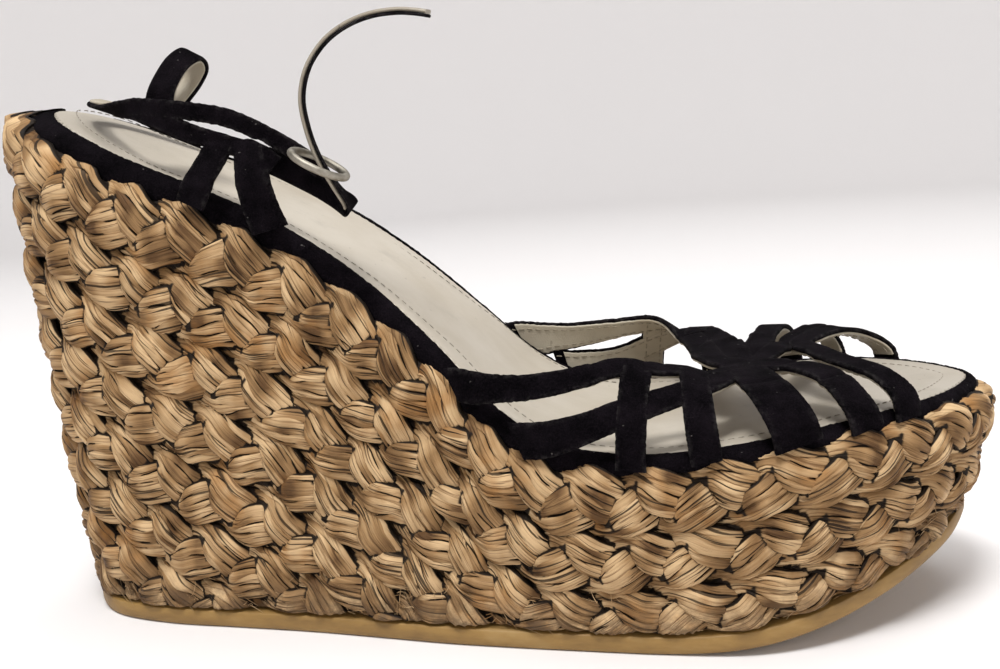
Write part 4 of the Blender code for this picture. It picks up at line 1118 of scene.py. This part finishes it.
# Ring: an oval wire, a circle carried round an ellipse and set on the ellipse's own normals
def makeRing():
    long, short = ringSizes["long"], ringSizes["short"]
    longAxis, shortAxis = unit(np.array(ringSizes["longAxis"])), np.array(ringSizes["shortAxis"])
    shortAxis = unit(shortAxis - shortAxis @ longAxis * longAxis)
    turn = (np.arange(ringSizes["around"]) * 2 * np.pi / ringSizes["around"])[:, None]
    out = unit(np.cos(turn) * longAxis * short + np.sin(turn) * shortAxis * long)
    middle = np.array(ringSizes["centre"]) + long * np.cos(turn) * longAxis + short * np.sin(turn) * shortAxis
    up = np.cross(longAxis, shortAxis)
    angle = (np.arange(ringSizes["sides"]) * 2 * np.pi / ringSizes["sides"])[None, :, None]
    points = middle[:, None] + ringSizes["wire"] * (np.cos(angle) * out[:, None] + np.sin(angle) * up)
    quads = gridFaces(ringSizes["around"], ringSizes["sides"], True, True)
    join(makePiece("ovalRing", points.reshape(-1, 3), quads, nickel), "ring")


makeRing()
print("ring made")

# Stage in metres: a pale round floor that curves up into a low wall
stage = {"first": (0.02, 0.5), "flat": 1.5, "radius": 0.6, "tall": 1.5, "around": 96, "bendSteps": 24,
         "below": 0.00002, "pale": (0.80, 0.78, 0.775)}


# Floor and wall: a straight, a quarter circle and a straight turned about the upright axis
def makeFloor():
    material = newMaterial("paleFloor", Roughness=0.9, Base_Color=(*stage["pale"], 1.0))[0]
    flat, radius, bend = stage["flat"], stage["radius"], np.linspace(0, np.pi / 2, stage["bendSteps"])
    reach = np.concatenate([stage["first"], flat + radius * np.sin(bend), [flat + radius]])[:, None]
    z = np.concatenate([[0, 0], radius * (1 - np.cos(bend)), [stage["tall"]]])[:, None] - stage["below"]
    turn = np.arange(stage["around"]) * 2 * np.pi / stage["around"]
    points = np.stack([reach * np.cos(turn), reach * np.sin(turn), np.tile(z, len(turn))], -1).reshape(-1, 3)
    quads = gridFaces(len(reach), len(turn), False, True)[:, ::-1]
    makePiece("floor", points / mm, quads, material, caps=[np.arange(len(turn))], closed=False)


makeFloor()

# Soft lights in metres: place, size and watts, all aimed at the shoe
lights = {"key": ((-0.05, -0.62, 1.75), 0.55, 32.0), "fill": ((1.2, -1.0, 0.8), 1.2, 4.5),
          "top": ((0.2, 0.4, 1.8), 1.2, 15.0)}
studio = {"aim": (0.0, 0.0, 0.05), "colour": (1.0, 0.985, 0.99, 1.0), "strength": 0.16}


# Square area lights turned to the aim, and an even pale world
def makeLights():
    for name, (place, size, power) in lights.items():
        data = bpy.data.lights.new(name, "AREA")
        data.size, data.energy = size, power
        lamp = bpy.data.objects.new(name, data)
        lamp.location = place
        lamp.rotation_euler = (Vector(studio["aim"]) - Vector(place)).to_track_quat("-Z", "Y").to_euler()
        bpy.context.scene.collection.objects.link(lamp)
    world = bpy.data.worlds.new("studio")
    world.use_nodes = True
    sky = world.node_tree.nodes["Background"]
    sky.inputs["Color"].default_value = studio["colour"]
    sky.inputs["Strength"].default_value = studio["strength"]
    bpy.context.scene.world = world


makeLights()

# Camera of the photograph: place in millimetres, turns in degrees
view = {"place": (60.514, -279.361, 109.78), "yaw": -11.5255, "pitch": -9.339, "roll": -4.0554,
        "focalPixels": 1191.67, "imageWidth": 1000, "sensorWidth": 36.0, "clipStart": 0.01}


# Camera axes: forward from yaw and pitch, then the image axes turned by the roll
def makeCamera():
    yaw, pitch, roll = np.radians([view["yaw"], view["pitch"], view["roll"]])
    ahead = np.array([np.sin(yaw) * np.cos(pitch), np.cos(yaw) * np.cos(pitch), np.sin(pitch)])
    right = np.array([np.cos(yaw), -np.sin(yaw), 0.0])
    up = np.cross(right, ahead)
    right, up = right * np.cos(roll) + up * np.sin(roll), -right * np.sin(roll) + up * np.cos(roll)
    turn = np.eye(4)
    turn[:3] = np.stack([right, up, -ahead, np.array(view["place"]) * mm], 1)
    data = bpy.data.cameras.new("photoCamera")
    data.sensor_width = view["sensorWidth"]
    data.lens = view["focalPixels"] * view["sensorWidth"] / view["imageWidth"]
    data.clip_start = view["clipStart"]
    camera = bpy.data.objects.new("photoCamera", data)
    camera.matrix_world = Matrix(turn.tolist())
    bpy.context.scene.collection.objects.link(camera)
    bpy.context.scene.camera = camera


makeCamera()
bpy.context.scene.view_settings.view_transform = "Standard"
print("stage made")

bpy.context.view_layer.update()
